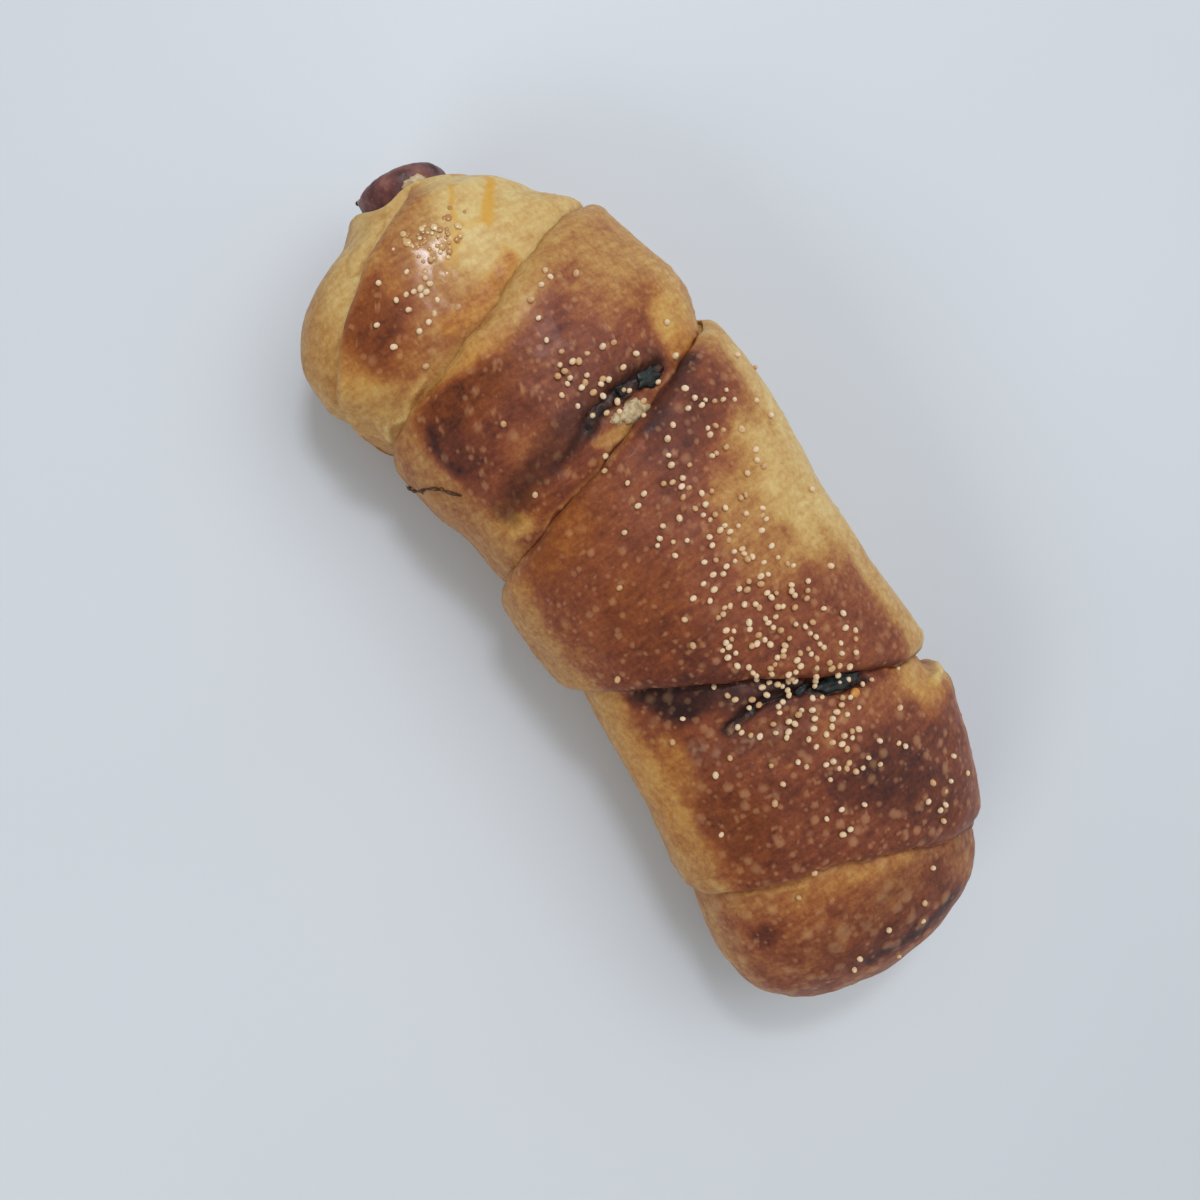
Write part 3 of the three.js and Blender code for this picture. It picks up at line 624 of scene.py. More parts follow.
# Browning: 0 is pale dough, 0.5 is orange-brown and 1 is nearly black. First comes the upper side of each
# turn, between two angles, with the flanks beyond them.
UPPER_SIDES = [  # level, -Y angle, +Y angle, level of the -Y flank, level of the +Y flank
    (0.14, -64, 90, 0.27, 0.14), (0.36, -78, 6, 0.32, 0.12), (0.67, -61, 47, 0.39, 0.28),
    (0.64, -63, 52, 0.36, 0.19), (0.7, -61, 66, 0.32, 0.48), (0.58, -76, 62, 0.38, 0.46),
]
browning_and_shade = np.zeros_like(grid_x)
for k, (tone, low, high, left_tone, right_tone) in enumerate(UPPER_SIDES):
    left_side = 1 - ease(low - 7, low + 6, grid_angle + SIDE_WANDER * wander)
    right_side = ease(high - 9, high + 9, grid_angle + SIDE_WANDER * wander)
    tones = tone + (left_tone - tone) * left_side + (right_tone - tone) * right_side
    browning_and_shade = np.where(number == k, tones, browning_and_shade)

# The very edge of the sheet stays pale where a lap kept the heat off it, or browns in its crease. The
# narrow dark line in the crease at edge 2 is painted shade under the lap.
LIPS = [  # edge, which side of it, width, level, and up to which angle
    (1, 1, 9, 0.52, 62), (1, 1, 5.4, 0.27, 62), (2, 1, 0.9, 0.5, 20), (3, -1, 0.8, 0.8, 60),
    # the last entry, a narrow dark line on the lower layer at edge 2, is painted shade under the lap
    (4, -1, 0.9, 0.55, 60), (4, 1, 6.5, 0.44, 74), (2, -1, 1.3, 0.5, 62), (2, -1, 0.45, 0.82, 62),
]
for k, side, width, tone, reach in LIPS:
    past = side * (grid_x - lines[k])
    on_lip = (past > -0.01) * (1 - ease(width * 0.45, width * 1.35, past + 0.7 * wander))
    on_lip = on_lip * (1 - ease(reach - 10, reach + 10, np.abs(grid_angle)))
    browning_and_shade = browning_and_shade + (tone - browning_and_shade) * on_lip

# Browned and pale places: the turn, the shape and its level. A spot is x, angle, half length, half angle,
# slant and softness, and a streak is a path, half width and softness.
SCORCHED_END = [[91.5, -30], [93, 0], [93.6, 25], [92.6, 48]]
BUTTERED_SEAM = [[-59.6, -24], [-60.5, -4], [-62.2, 12], [-64.6, 26]]
for turn, shape, level in [
    (0, (-69, -76, 8, 13, 0, 0.6), 0.31),
    (1, (-65.5, -41, 7, 19, -0.14, 0.5), 0.6), (1, (-66.5, -41, 5, 14, -0.14, 0.7), 0.74),
    (1, (-73, -26, 4.5, 8, -0.2, 0.6), 0.46), (1, (-61, -26, 4.5, 15, -0.1, 0.7), 0.46),
    (1, (-56, -76, 6, 13, 0, 0.6), 0.3), (1, (-62, -68, 8, 11, 0, 0.6), 0.26),
    (1, (-76, 30, 13, 28, -0.1, 0.6), 0.05), (1, (-70, 52, 8, 16, 0, 0.6), 0.1),
    (1, (BUTTERED_SEAM, 1.7, 1.3), 0.38),
    (2, (-47.5, -41, 4.6, 18, 0.05, 0.5), 0.82), (2, (-38, -34, 10, 24, 0, 0.6), 0.7),
    (2, (-43, 5, 8, 20, -0.1, 0.6), 0.7), (2, (-52, 37, 8, 18, -0.22, 0.6), 0.46),
    (2, (-56, 50, 7, 12, -0.15, 0.6), 0.34), (2, (-38.5, 50, 5, 13, -0.1, 0.5), 0.24),
    (2, ([[-46.4, -50], [-43.5, -53], [-40, -54], [-36.5, -52]], 3, 2.4), 0.8),
    (2, ([[-46, -56], [-44, -58.5], [-40.6, -60], [-36.8, -58.5]], 1.2, 1.2), 0.88),
    (2, (-22, -55, 2.6, 8, 0.1, 0.5), 0.28), (2, ([[-26.4, -12], [-25.7, 0], [-27.6, 14]], 1.3, 0.6), 0.36),
    (2, (-33.6, 46, 2, 9, -0.12, 0.5), 0.36), (2, (-34, -32, 3, 9, 0, 0.6), 0.56),
    (2, (-40, -70, 12, 7, 0, 0.6), 0.42),
    (3, (-17, -41, 4.5, 14, -0.12, 0.6), 0.58), (3, (-20, 20, 7, 20, -0.16, 0.6), 0.78),
    # the dark violet streak on turn 3 along edge 2 is brown with painted shade along its lip
    (3, ([[-23, 5], [-25.2, 18], [-28, 31], [-30.6, 43]], 1.3, 1.6), 0.86),
    (3, (1, 43, 16, 26, 0.03, 0.5), 0.13), (3, (4, 17, 10, 11, 0, 0.7), 0.37),
    (3, (0, 66, 24, 13, 0, 0.5), 0.08),
    (3, (15.5, -32, 8, 17, 0.15, 0.7), 0.76), (3, (21, -30, 4, 12, 0.15, 0.7), 0.8),
    (3, (28, 24, 9, 18, 0.1, 0.6), 0.63), (3, (30, 60, 12, 9, 0.1, 0.6), 0.24),
    # the dark band and spots on turn 4 along edge 3 are soot-dark brown with painted shade under the lap
    (4, ([[17, -56], [19.6, -46], [22.6, -34], [26.4, -20]], 3.4, 2.4), 0.86),
    (4, (22, -44, 5, 13, 0.16, 0.4), 0.96), (4, (29, -14, 5, 14, 0.2, 0.6), 0.84),
    (4, (34, -77, 17, 15, 0, 0.35), 0.28), (4, (34, -57, 8, 7, 0, 0.5), 0.42),
    (4, (50, -45, 10, 14, 0, 0.6), 0.72), (4, (44, 2, 5, 24, 0.1, 0.7), 0.6),
    (4, (46, 27, 3.5, 10, 0, 0.6), 0.54), (4, (59, 16, 8, 25, 0.12, 0.7), 0.85),
    (4, (49.5, 56, 6, 16, 0.12, 0.6), 0.26), (4, (70, 34, 8, 20, 0.1, 0.6), 0.79),
    (4, (54, -78, 8, 12, 0, 0.6), 0.34),
    (5, (83, 5, 5, 40, 0, 0.8), 0.58), (5, (88.5, -5, 4.5, 60, 0, 0.7), 0.7),
    (5, (SCORCHED_END, 1.8, 1.7), 0.88),
    (5, (74, -61, 2.4, 5, 0, 0.7), 0.82), (5, (84, -84, 8, 9, 0, 0.6), 0.42),
    (5, (88, 52, 4, 10, 0, 0.6), 0.5),
]:
    browning_and_shade = lay(browning_and_shade, turn, shape, level)
UNDERSIDE_TONE, UNDERSIDE_PATCHES, UNDERSIDE_FROM, UNDERSIDE_FULL = 0.34, 0.14, 100, 124
PATCH_WIDTH, PATCHINESS = 4.5, (0.03, 0.03, 0.03, 0.03, 0.045, 0.06)  # of each turn
under = ease(UNDERSIDE_FROM, UNDERSIDE_FULL, np.abs(grid_angle))
patchy = grain(form_point, PATCH_WIDTH, 3) * np.array(PATCHINESS)[number]
browning_and_shade = browning_and_shade + (UNDERSIDE_TONE + UNDERSIDE_PATCHES * wander - browning_and_shade) * under
CREASE_TONE, FOLD_TONE = 0.25, -0.3  # raised creases browned more, and raised folds less
browning_and_shade = browning_and_shade + CREASE_TONE * creases + FOLD_TONE * folds + patchy

# Juice of the filling has baked black in the splits and purple-brown round them. The same darkening along
# edges 2 and 3 is painted shade.
juice_and_shade = np.zeros_like(grid_x)
for turn, shape, level in [
    (2, ([[-33, 30], [-33, 6], [-31, -18], [-29, -34], [-27, -47], [-25.8, -55]], 3.2, 2.2), 0.58),
    (2, ([[-32.2, 31], [-32.4, 12], [-31.4, -2], [-29.6, -12]], 2, 1.1), 1),
    (2, ([[-29.6, -12], [-28.2, -22], [-27.2, -32]], 1.5, 1.3), 0.85),
    (2, ([[-27.6, -40], [-26.4, -50]], 1.6, 1.5), 0.75),
    # this streak along edge 2 is painted shade, not juice
    (3, ([[-23.8, 10], [-26, 20], [-28.8, 32], [-31, 41]], 1.3, 1.8), 0.5),
    (4, ([[40.5, 28], [37.5, 14], [34.5, 3], [32.3, -8], [31.6, -20], [32.8, -33]], 1.5, 0.8), 1),
    (2, ([[-46, -56], [-44, -58], [-40.5, -59.5], [-36.5, -58]], 1.7, 1.5), 0.34),
    # this band and the spots after it, along edge 3 under its lap, are painted shade, not juice
    (4, ([[18, -54], [20.6, -44], [23.6, -32], [27.4, -18]], 3, 2.2), 0.5),
    (4, (22, -44, 5, 12, 0.16, 0.5), 0.7), (4, (29, -14, 5, 14, 0.2, 0.6), 0.5),
    (4, (40, -14, 4.5, 18, 0.1, 0.7), 0.3), (4, (59, 15, 7, 20, 0.1, 0.7), 0.35),
    (5, (SCORCHED_END, 1.4, 1.2), 0.5),
    (5, (84, -4, 8.5, 62, 0, 0.7), 0.3),
]:
    juice_and_shade = np.maximum(juice_and_shade, lay(np.zeros_like(grid_x), turn, shape, level))

# Amber: where butter or egg pooled the brown is clear and orange, and elsewhere it is dull and reddish.
amber = np.full_like(grid_x, 0.12)
for turn, shape, level in [
    (1, (-67, -44, 7, 19, -0.14, 0.7), 1),
    (1, (BUTTERED_SEAM, 2.2, 1.5), 1),
    (2, (-49, -38, 6, 26, 0, 0.6), 0.9), (2, (-33, 46, 4, 13, -0.1, 0.7), 1),
    (2, (-40, 48, 6, 14, 0, 0.7), 0.6), (2, (-24, -50, 4, 12, 0, 0.7), 0.7),
    (3, (-17, -44, 7, 20, -0.1, 0.8), 1), (3, (4, -30, 10, 16, 0, 0.8), 0.6),
    (4, (34, -70, 17, 18, 0, 0.6), 1), (4, (50, -50, 11, 13, 0, 0.6), 0.7),
    (4, (49, 52, 8, 13, 0.12, 0.6), 0.5), (5, (72, 0, 4, 60, 0, 0.8), 0.4),
]:
    amber = np.maximum(amber, lay(amber, turn, shape, level))

# Streaks of unmixed yolk dried yellow on the first lap.
yolk = np.zeros_like(grid_x)
for path, half_width, level in [
    ([[-84, 16], [-79, 15], [-74.5, 12], [-72, 8]], 0.8, 0.9),
    ([[-82.5, 43], [-77.5, 35], [-73.5, 27]], 1.5, 1),
    ([[-75.5, 12], [-74, 19], [-74.2, 27]], 0.7, 0.7), ([[-73.6, 8], [-71, 3], [-70, -3]], 1.1, 0.6),
]:
    yolk = np.maximum(yolk, lay(np.zeros_like(grid_x), 1, (path, half_width, 0.7), level))

# Egg pooled and dried to a glassy film on the first lap, and lies thinner over the tops of the others.
pooled = np.full_like(grid_x, 0.05)
for turn, shape, level in [
    (1, (-73.4, -5, 4.6, 9, -0.1, 0.6), 0.95), (1, (-66, -36, 8, 16, -0.14, 0.8), 0.25),
    (4, (38, -34, 5, 14, 0.1, 0.7), 0.4),
]:
    pooled = np.maximum(pooled, lay(pooled, turn, shape, level))

# The mouth: the sheet turns in round the sausage and goes back along it.
rim = crust[0]
from_centre = np.arctan2(rim[:, 1] - MOUTH["y"], rim[:, 2] - MOUTH["z"])
rim_radius = np.hypot(rim[:, 1] - MOUTH["y"], rim[:, 2] - MOUTH["z"])
BORE = 9.95         # inner radius of the dough round the sausage
LIP_BULGE = 1.1     # how far its rounded lip stands out
inner = []
for turn in np.radians([28, 58, 90, 130]):
    reach = (rim_radius + BORE) / 2 + (rim_radius - BORE) / 2 * np.cos(turn)
    out = LIP_BULGE * np.sin(turn)
    y, z = MOUTH["y"] + reach * np.sin(from_centre), MOUTH["z"] + reach * np.cos(from_centre)
    inner.append(np.stack([mouth_line + MOUTH["lean"] * (y - MOUTH["lean_about"]) - out, y, z], 1))
for back in (0.6, 3, 9):
    _, sausage_y, sausage_z = along_line(
        SAUSAGE_LINE, np.interp(MOUTH["x"] + back, centres[:, 0], shares))
    y, z = sausage_y + BORE * np.sin(from_centre), sausage_z + BORE * np.cos(from_centre)
    inner.append(np.stack([mouth_line + back + MOUTH["lean"] * (y - MOUTH["lean_about"]), y, z], 1))
inner = np.array(inner[::-1])
crust_points = np.concatenate([inner, crust]).reshape(-1, 3)
crust_points = np.concatenate([crust_points, [inner[0].mean(0), crust[-1].mean(0)]])
INSET = np.array([0.05, 0.05, 0])  # how far inside its solid the crust stays
dough_low, dough_high = own_lines(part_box("dough"))
crust_points = np.clip(crust_points, dough_low + INSET, dough_high - INSET)
crust_faces = [f[::-1] for f in tube_faces(len(inner) + len(crust), len(column_angles))]


def with_inner(field, value):
    """The field over all the crust's points, with one value for the inside of the mouth."""
    inside = np.full(inner.shape[:2], value)
    return np.concatenate([np.concatenate([inside, field]).ravel(), [value, field[-1].mean()]])


# Egg-glazed crust: wheat dough, brushed with beaten egg and baked. The egg gives it a thin satin skin
# over brown that goes from cream through amber to red-brown, with paler blisters and fine grain.
glazed_crust, tree, place = start_material("egg_glazed_crust")
brown_and_shade, stain_and_shade, butter, domes, yellow, flake_sheen, film = (
    add(tree, "ShaderNodeAttribute", attribute_name=field).outputs["Fac"]
    for field in ("browning_and_shade", "juice_and_shade", "amber", "blister", "yolk", "flakes_and_sheen", "pooled"))
# patches about 5 mm wide, grain of 1 mm and finer, and fibres round the roll
mottle = add(tree, "ShaderNodeTexNoise",
             {"Vector": place, "Scale": 1 / (5.26 * MM), "Detail": 5, "Roughness": 0.62})
grain_noise = add(tree, "ShaderNodeTexNoise",
                  {"Vector": place, "Scale": 1 / (1.0 * MM), "Detail": 4, "Roughness": 0.7})
stretch = add(tree, "ShaderNodeMapping", {"Vector": place, "Scale": (1, 0.22, 0.5)})
fibres = add(tree, "ShaderNodeTexNoise", {"Vector": stretch, "Scale": 1 / (1.11 * MM), "Detail": 3})
# Soft round specks in two sizes, 2 mm and 4 mm apart. Each cell draws its own size, and some have none.
specks = None
for spacing, rarity, largest in ((1.92, 0.1, 0.4), (4.35, 0.35, 0.3)):
    cells = add(tree, "ShaderNodeTexVoronoi", {"Vector": place, "Scale": 1 / (spacing * MM)})
    lot = add(tree, "ShaderNodeSeparateColor", {"Color": cells.outputs["Color"]})
    size = add(tree, "ShaderNodeMapRange",
               {"Value": lot, "From Min": rarity, "From Max": 1, "To Min": 0, "To Max": largest})
    inside = add(tree, "ShaderNodeMath", {0: size, 1: cells}, operation="SUBTRACT")
    soft = add(tree, "ShaderNodeMapRange",
               {"Value": inside, "From Min": -0.06, "From Max": 0.17, "To Min": 0, "To Max": 0.8})
    specks = add(tree, "ShaderNodeMath", {0: specks, 1: soft}, operation="MAXIMUM") if specks else soft
pale_spots = add(tree, "ShaderNodeMath", {0: specks, 1: domes}, operation="MAXIMUM")
paler = add(tree, "ShaderNodeMath", {0: pale_spots, 1: brown_and_shade}, operation="MULTIPLY")
# The level on the colour ramps: browning, with the patches, the grain and the fibres each a little up or
# down from 0.5, and less in the pale spots.
level = add(tree, "ShaderNodeMath", {0: brown_and_shade, 1: 0.54}, operation="SUBTRACT")
for source, share in ((mottle, 0.36), (grain_noise, 0.44), (fibres, 0.32), (paler, -0.17)):
    level = add(tree, "ShaderNodeMath", {0: source, 1: share, 2: level}, operation="MULTIPLY_ADD")
dull = add(tree, "ShaderNodeValToRGB", {"Fac": level})
fill_ramp(dull.color_ramp, [
    (0.0, "#d6bd80"), (0.16, "#c8a466"), (0.32, "#b4864b"), (0.48, "#9d653a"), (0.62, "#87492f"),
    (0.76, "#6e3826"), (0.9, "#522b23"), (1.0, "#341d19")])
clear = add(tree, "ShaderNodeValToRGB", {"Fac": level})
fill_ramp(clear.color_ramp, [
    (0.0, "#d8b768"), (0.16, "#ca9e4c"), (0.32, "#bb813c"), (0.48, "#a0602b"), (0.62, "#8b4b22"),
    (0.76, "#743a1b"), (0.9, "#522815"), (1.0, "#351a10")])
bread = add(tree, "ShaderNodeMixRGB", {"Fac": butter, "Color1": dull, "Color2": clear})
# Blisters and specks are tan where the skin over them stayed thin.
spot_share = add(tree, "ShaderNodeMath", {0: paler, 1: 0.5}, operation="MULTIPLY")
spotted = add(tree, "ShaderNodeMixRGB", {"Fac": spot_share, "Color1": bread, "Color2": linear("#b98f68")})
# Baked juice is nearly black, with a blotchy outline, and the same dark is painted shade along edges 2 and
# 3. Then come the yolk and the grey-brown torn flakes, whose colour is a painted sheen.
stain_and_shade_edge = add(tree, "ShaderNodeMath", {0: mottle, 1: 0.6, 2: stain_and_shade}, operation="MULTIPLY_ADD")
stain_and_shade_amount = add(tree, "ShaderNodeMapRange",
                   {"Value": stain_and_shade_edge, "From Min": 0.36, "From Max": 1.3, "To Min": 0, "To Max": 0.92})
stained_and_shaded = add(tree, "ShaderNodeMixRGB",
              {"Fac": stain_and_shade_amount, "Color1": spotted, "Color2": linear("#281816")})
yolk_tone = add(tree, "ShaderNodeMixRGB", {"Fac": yellow, "Color1": stained_and_shaded, "Color2": linear("#d0992a")})
flake_sheen_mixed = add(tree, "ShaderNodeMixRGB", {"Fac": flake_sheen, "Color1": yolk_tone, "Color2": linear("#a17a60")})
skin = grain_noise
for source, share in ((specks, 0.6), (fibres, 0.7)):
    skin = add(tree, "ShaderNodeMath", {0: source, 1: share, 2: skin}, operation="MULTIPLY_ADD")
crust_bump = add(tree, "ShaderNodeBump", {"Height": skin, "Strength": 0.5, "Distance": 0.13 * MM})
satin = add(tree, "ShaderNodeMapRange",
            {"Value": mottle, "From Min": 0.3, "From Max": 0.7, "To Min": 0.44, "To Max": 0.58})
shader = add(tree, "ShaderNodeBsdfPrincipled",
             {"Base Color": flake_sheen_mixed, "Roughness": satin, "IOR": 1.45, "Specular IOR Level": 0.34,
              "Coat Weight": film, "Coat Roughness": 0.16, "Coat IOR": 1.4, "Normal": crust_bump})
add(tree, "ShaderNodeOutputMaterial", {"Surface": shader})

# the flakes' share is a painted sheen over the crust's colour
YOLK_SHOWS, FLAKE_SHEEN_SHOWS = 0.75, 0.6  # shares of their own colour over the crust's
dough = make_piece("glazed_dough", crust_points, crust_faces, glazed_crust, {
    "browning_and_shade": with_inner(browning_and_shade, 0.12), "juice_and_shade": with_inner(juice_and_shade, 0.0),
    "amber": with_inner(amber, 0.0), "blister": with_inner(blister, 0.0),
    "yolk": with_inner(YOLK_SHOWS * yolk, 0.0), "flakes_and_sheen": with_inner(FLAKE_SHEEN_SHOWS * flakes_and_sheen, 0.0),
    "pooled": with_inner(pooled, 0.03)})
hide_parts("dough")

# ---------------------------------------------------------------- bubbles in the pooled egg
# Where egg pooled on the first lap, small bubbles of it rose and set in the oven. They are thin amber domes
# about a millimetre across, stuck to the crust.

BUBBLES = {"draw": 5, "count": 60, "x": -74.6, "angle": -4, "along": 2.4, "round": 9,
           "smallest": 0.3, "largest": 0.8, "flat": 0.24, "sunk": 0.04, "uneven": 0.1}

small_points, small_faces = ball(3)
draws = np.random.default_rng(BUBBLES["draw"])
parts, shades = [], []
for n in range(BUBBLES["count"]):
    x = BUBBLES["x"] + BUBBLES["along"] * draws.normal()
    angle = BUBBLES["angle"] + BUBBLES["round"] * draws.normal()
    radius = BUBBLES["smallest"] + (BUBBLES["largest"] - BUBBLES["smallest"]) * draws.random() ** 2
    out = outward(x, angle)
    dome = small_points * radius
    dome = dome - np.outer(dome @ out, out) * (1 - BUBBLES["flat"])
    dome = dome * (1 + BUBBLES["uneven"] * grain(small_points + n, 1.2, 2))[:, None]
    parts.append((on_dough(x, angle, -BUBBLES["sunk"]) + dome, small_faces))
    shades.append(draws.random())
bubble_points, bubble_faces = joined(parts)

# Dried egg: a clear brittle film. It looks amber to cream, with a sharp shine.
dried_egg, tree, place = start_material("dried_egg")
shade_here = add(tree, "ShaderNodeAttribute", attribute_name="shade").outputs["Fac"]
cloud = add(tree, "ShaderNodeTexNoise", {"Vector": place, "Scale": 1 / (1.11 * MM), "Detail": 2})
egg_level = add(tree, "ShaderNodeMath", {0: cloud, 1: 0.4, 2: shade_here}, operation="MULTIPLY_ADD")
egg_tone = add(tree, "ShaderNodeValToRGB", {"Fac": egg_level})
fill_ramp(egg_tone.color_ramp, [(0.2, "#d8c190"), (0.5, "#c99d60"), (0.9, "#b07b42")])
egg_bump = add(tree, "ShaderNodeBump", {"Height": cloud, "Strength": 0.3, "Distance": 0.1 * MM})
shader = add(tree, "ShaderNodeBsdfPrincipled",
             {"Base Color": egg_tone, "Roughness": 0.35, "IOR": 1.45, "Coat Weight": 0.5,
              "Coat Roughness": 0.15, "Normal": egg_bump})
add(tree, "ShaderNodeOutputMaterial", {"Surface": shader})
make_piece("egg_bubbles", bubble_points, bubble_faces, dried_egg,
           {"shade": np.repeat(shades, len(small_points))})

# ---------------------------------------------------------------- the filling in the splits
# Chopped greens and herbs lie under the last turns of dough. Where the crust split they baked dark and
# moist, level with its torn rim, with a leaf or two on top.

FILLING_DEPTH = 5.0
STRIP_STEPS, STRIP_TOP = 120, 22             # points along a strip, and across its top
STRIP_BELOW = [0.9, 0.8, 0.3, -0.3, -0.8, -0.9]  # shares of the half width, back along its underside
EDGE_DROP = 0.8                              # how far the strip's top falls off towards its edges
CRUMB_HEIGHT, CRUMB_WIDTH = 0.5, 2.2
LEAVES = {  # x, angle, length, width, turn of its length from the roll's axis, lobes, lift
    "filling_upper": [(-31.2, 23, 7, 5, 78, 5, 0.0), (-32, 10, 3.4, 2.4, 30, 4, -0.35)],
    "filling_lower": [(37.7, 18, 11.5, 6, 74, 2, 0.1), (34.6, 1, 5, 2, 100, 3, -0.3)],
}
# Where the filling's top is toasted brown rather than black: the angles over which it turns so, the shares
# of the width over which it does, and how far its black part and its toasted part lie below the crust.
TOASTED = {"filling_upper": {"angles": (-12, -24), "across": (0.1, 0.9), "sunk": (0.75, 1.2)},
           "filling_lower": {"angles": (-24, -40), "across": (-0.75, 0.1), "sunk": (0.7, 0.6)}}

# Baked greens: leaves cooked down and scorched. They look black-green to purple-brown, moist on top.
baked_greens, tree, place = start_material("baked_greens")
cloud = add(tree, "ShaderNodeTexNoise",
            {"Vector": place, "Scale": 1 / (2.38 * MM), "Detail": 5, "Roughness": 0.65})
pulp = add(tree, "ShaderNodeValToRGB", {"Fac": cloud})
fill_ramp(pulp.color_ramp, [(0.34, "#120c0b"), (0.48, "#2a1a17"), (0.6, "#472c23"), (0.74, "#6b4a33")])
baked_on = add(tree, "ShaderNodeAttribute", attribute_name="crusted").outputs["Fac"]
toasted = add(tree, "ShaderNodeValToRGB", {"Fac": cloud})
fill_ramp(toasted.color_ramp, [(0.3, "#3d241f"), (0.5, "#5c3a2a"), (0.65, "#7d5435"), (0.8, "#a57c4c")])
pulp_tone = add(tree, "ShaderNodeMixRGB", {"Fac": baked_on, "Color1": pulp, "Color2": toasted})
leafy = add(tree, "ShaderNodeAttribute", attribute_name="leaf").outputs["Fac"]
blade = add(tree, "ShaderNodeValToRGB", {"Fac": cloud})
fill_ramp(blade.color_ramp, [(0.3, "#0a0f0e"), (0.55, "#171f1c"), (0.8, "#30372f")])
green_colour = add(tree, "ShaderNodeMixRGB", {"Fac": leafy, "Color1": pulp_tone, "Color2": blade})
crumple = add(tree, "ShaderNodeTexNoise", {"Vector": place, "Scale": 1 / (0.77 * MM), "Detail": 4})
green_bump = add(tree, "ShaderNodeBump", {"Height": crumple, "Strength": 0.8, "Distance": 0.3 * MM})
shader = add(tree, "ShaderNodeBsdfPrincipled",
             {"Base Color": green_colour, "Roughness": 0.42, "IOR": 1.4,
              "Coat Weight": 0.25, "Coat Roughness": 0.3, "Normal": green_bump})
add(tree, "ShaderNodeOutputMaterial", {"Surface": shader})


def lengthways(out):
    """The direction along the roll, on a surface that faces that way."""
    return unit(np.cross(np.cross(out, [1.0, 0, 0]), out))


def leaf_blade(x, angle, length, width, turn, lobes, lift):
    """A thin crumpled leaf lying on the crust: a fan of rings for each face, joined at its outline."""
    centre, out = on_dough(x, angle, lift), outward(x, angle)
    along = lengthways(out)
    side = np.cross(out, along)
    swing = np.radians(turn)
    length_way = along * np.cos(swing) + side * np.sin(swing)
    width_way = np.cross(out, length_way)
    spokes, circles, thickness, notched, crumpled = 60, 9, 0.22, 0.34, 0.3
    phi = np.arange(spokes) * 2 * np.pi / spokes
    outline = 1 - notched * np.abs(np.sin(phi * lobes / 2 + x)) ** 0.7 + 0.05 * np.sin(phi * 7 + x)
    points = []
    for face, gap in ((1, thickness), (-1, 0)):
        for ring in (np.arange(1, circles + 1) if face > 0 else np.arange(circles - 1, 0, -1)):
            r = ring / circles
            flat = (length_way * (np.cos(phi) * outline * r * length / 2)[:, None]
                    + width_way * (np.sin(phi) * outline * r * width / 2)[:, None])
            wave = crumpled * grain(centre + flat, 1.8, 2) - 0.5 * r * r * (width / 4) ** 2 / 4
            points.append(centre + flat + out * (wave + gap * (1 - r ** 4))[:, None])
    points = np.array(points)
    middles = [centre + out * thickness, centre - out * 0.02]
    return np.concatenate([points.reshape(-1, 3), middles]), tube_faces(len(points), spokes)


for name, split in SPLITS.items():
    shares = np.linspace(0, 1, STRIP_STEPS)
    where = along_line(split["line"], shares)
    middle_line = on_dough(where[:, 0], where[:, 1])
    ahead = unit(np.gradient(middle_line, axis=0))
    out = outward(where[:, 0], where[:, 1])
    out = unit(out - ahead * (out * ahead).sum(1)[:, None])
    side = np.cross(ahead, out)
    width = split_width(split, shares)[:, None]
    across = np.concatenate([np.linspace(-1, 1, STRIP_TOP), STRIP_BELOW])
    toast = TOASTED[name]
    tilt = 1 if np.mean(side[:, 0]) > 0 else -1  # which way across leads towards +X
    brown_side = ease(*toast["across"], across * tilt) * ease(12, 6, where[:, 1])[:, None]
    crusted = np.maximum(brown_side, ease(*toast["angles"], where[:, 1])[:, None])
    sunk = toast["sunk"][0] + (toast["sunk"][1] - toast["sunk"][0]) * crusted
    on_top = np.arange(len(across)) < STRIP_TOP
    height = np.where(on_top, -sunk - EDGE_DROP * np.abs(across) ** 3, -FILLING_DEPTH)
    height[:, STRIP_TOP] = height[:, -1] = -0.6 * FILLING_DEPTH
    strip = (middle_line[:, None] + side[:, None] * (across * width)[..., None]
             + out[:, None] * height[..., None])
    crumbs = CRUMB_HEIGHT * grain(strip, CRUMB_WIDTH, 4) * on_top
    strip = strip + out[:, None] * crumbs[..., None]
    parts = [(np.concatenate([strip.reshape(-1, 3), strip[[0, -1]].mean(1)]),
              [f[::-1] for f in tube_faces(STRIP_STEPS, len(across))])]
    parts += [leaf_blade(*numbers) for numbers in LEAVES[name]]
    green_points, green_faces = joined(parts)
    leaf = np.repeat([0] + [1] * len(LEAVES[name]), [len(points) for points, _ in parts])
    crusted_top = np.concatenate([crusted.ravel(), [0, 1], np.zeros(int(leaf.sum()))])
    filling = make_piece("greens_" + name.split("_")[1], green_points, green_faces, baked_greens,
                         {"leaf": leaf, "crusted": crusted_top})
    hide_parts(name)

# ---------------------------------------------------------------- crumbs of cheese
# White cheese from the filling has come out beside the upper split and at the mouth, and a bead of
# melted orange cheese lies at the end of the lower split. It baked onto the crust where it lay.

CRUMBS = [  # x, angle, sizes along, round and up, share of orange
    (-27.6, 8, 2.0, 2.9, 1.1, 0), (-28.1, 0.5, 1.2, 1.3, 0.7, 0), (-26.9, 14, 0.9, 1.1, 0.6, 0),
    (41.6, 20, 0.95, 1.05, 0.8, 1),
]
MOUTH_CRUMB = {"at": (-88.6, -0.4, 30.9), "size": (1.3, 2.2, 1.0)}
CURD_LUMPS = 0.42  # melted cheese has none

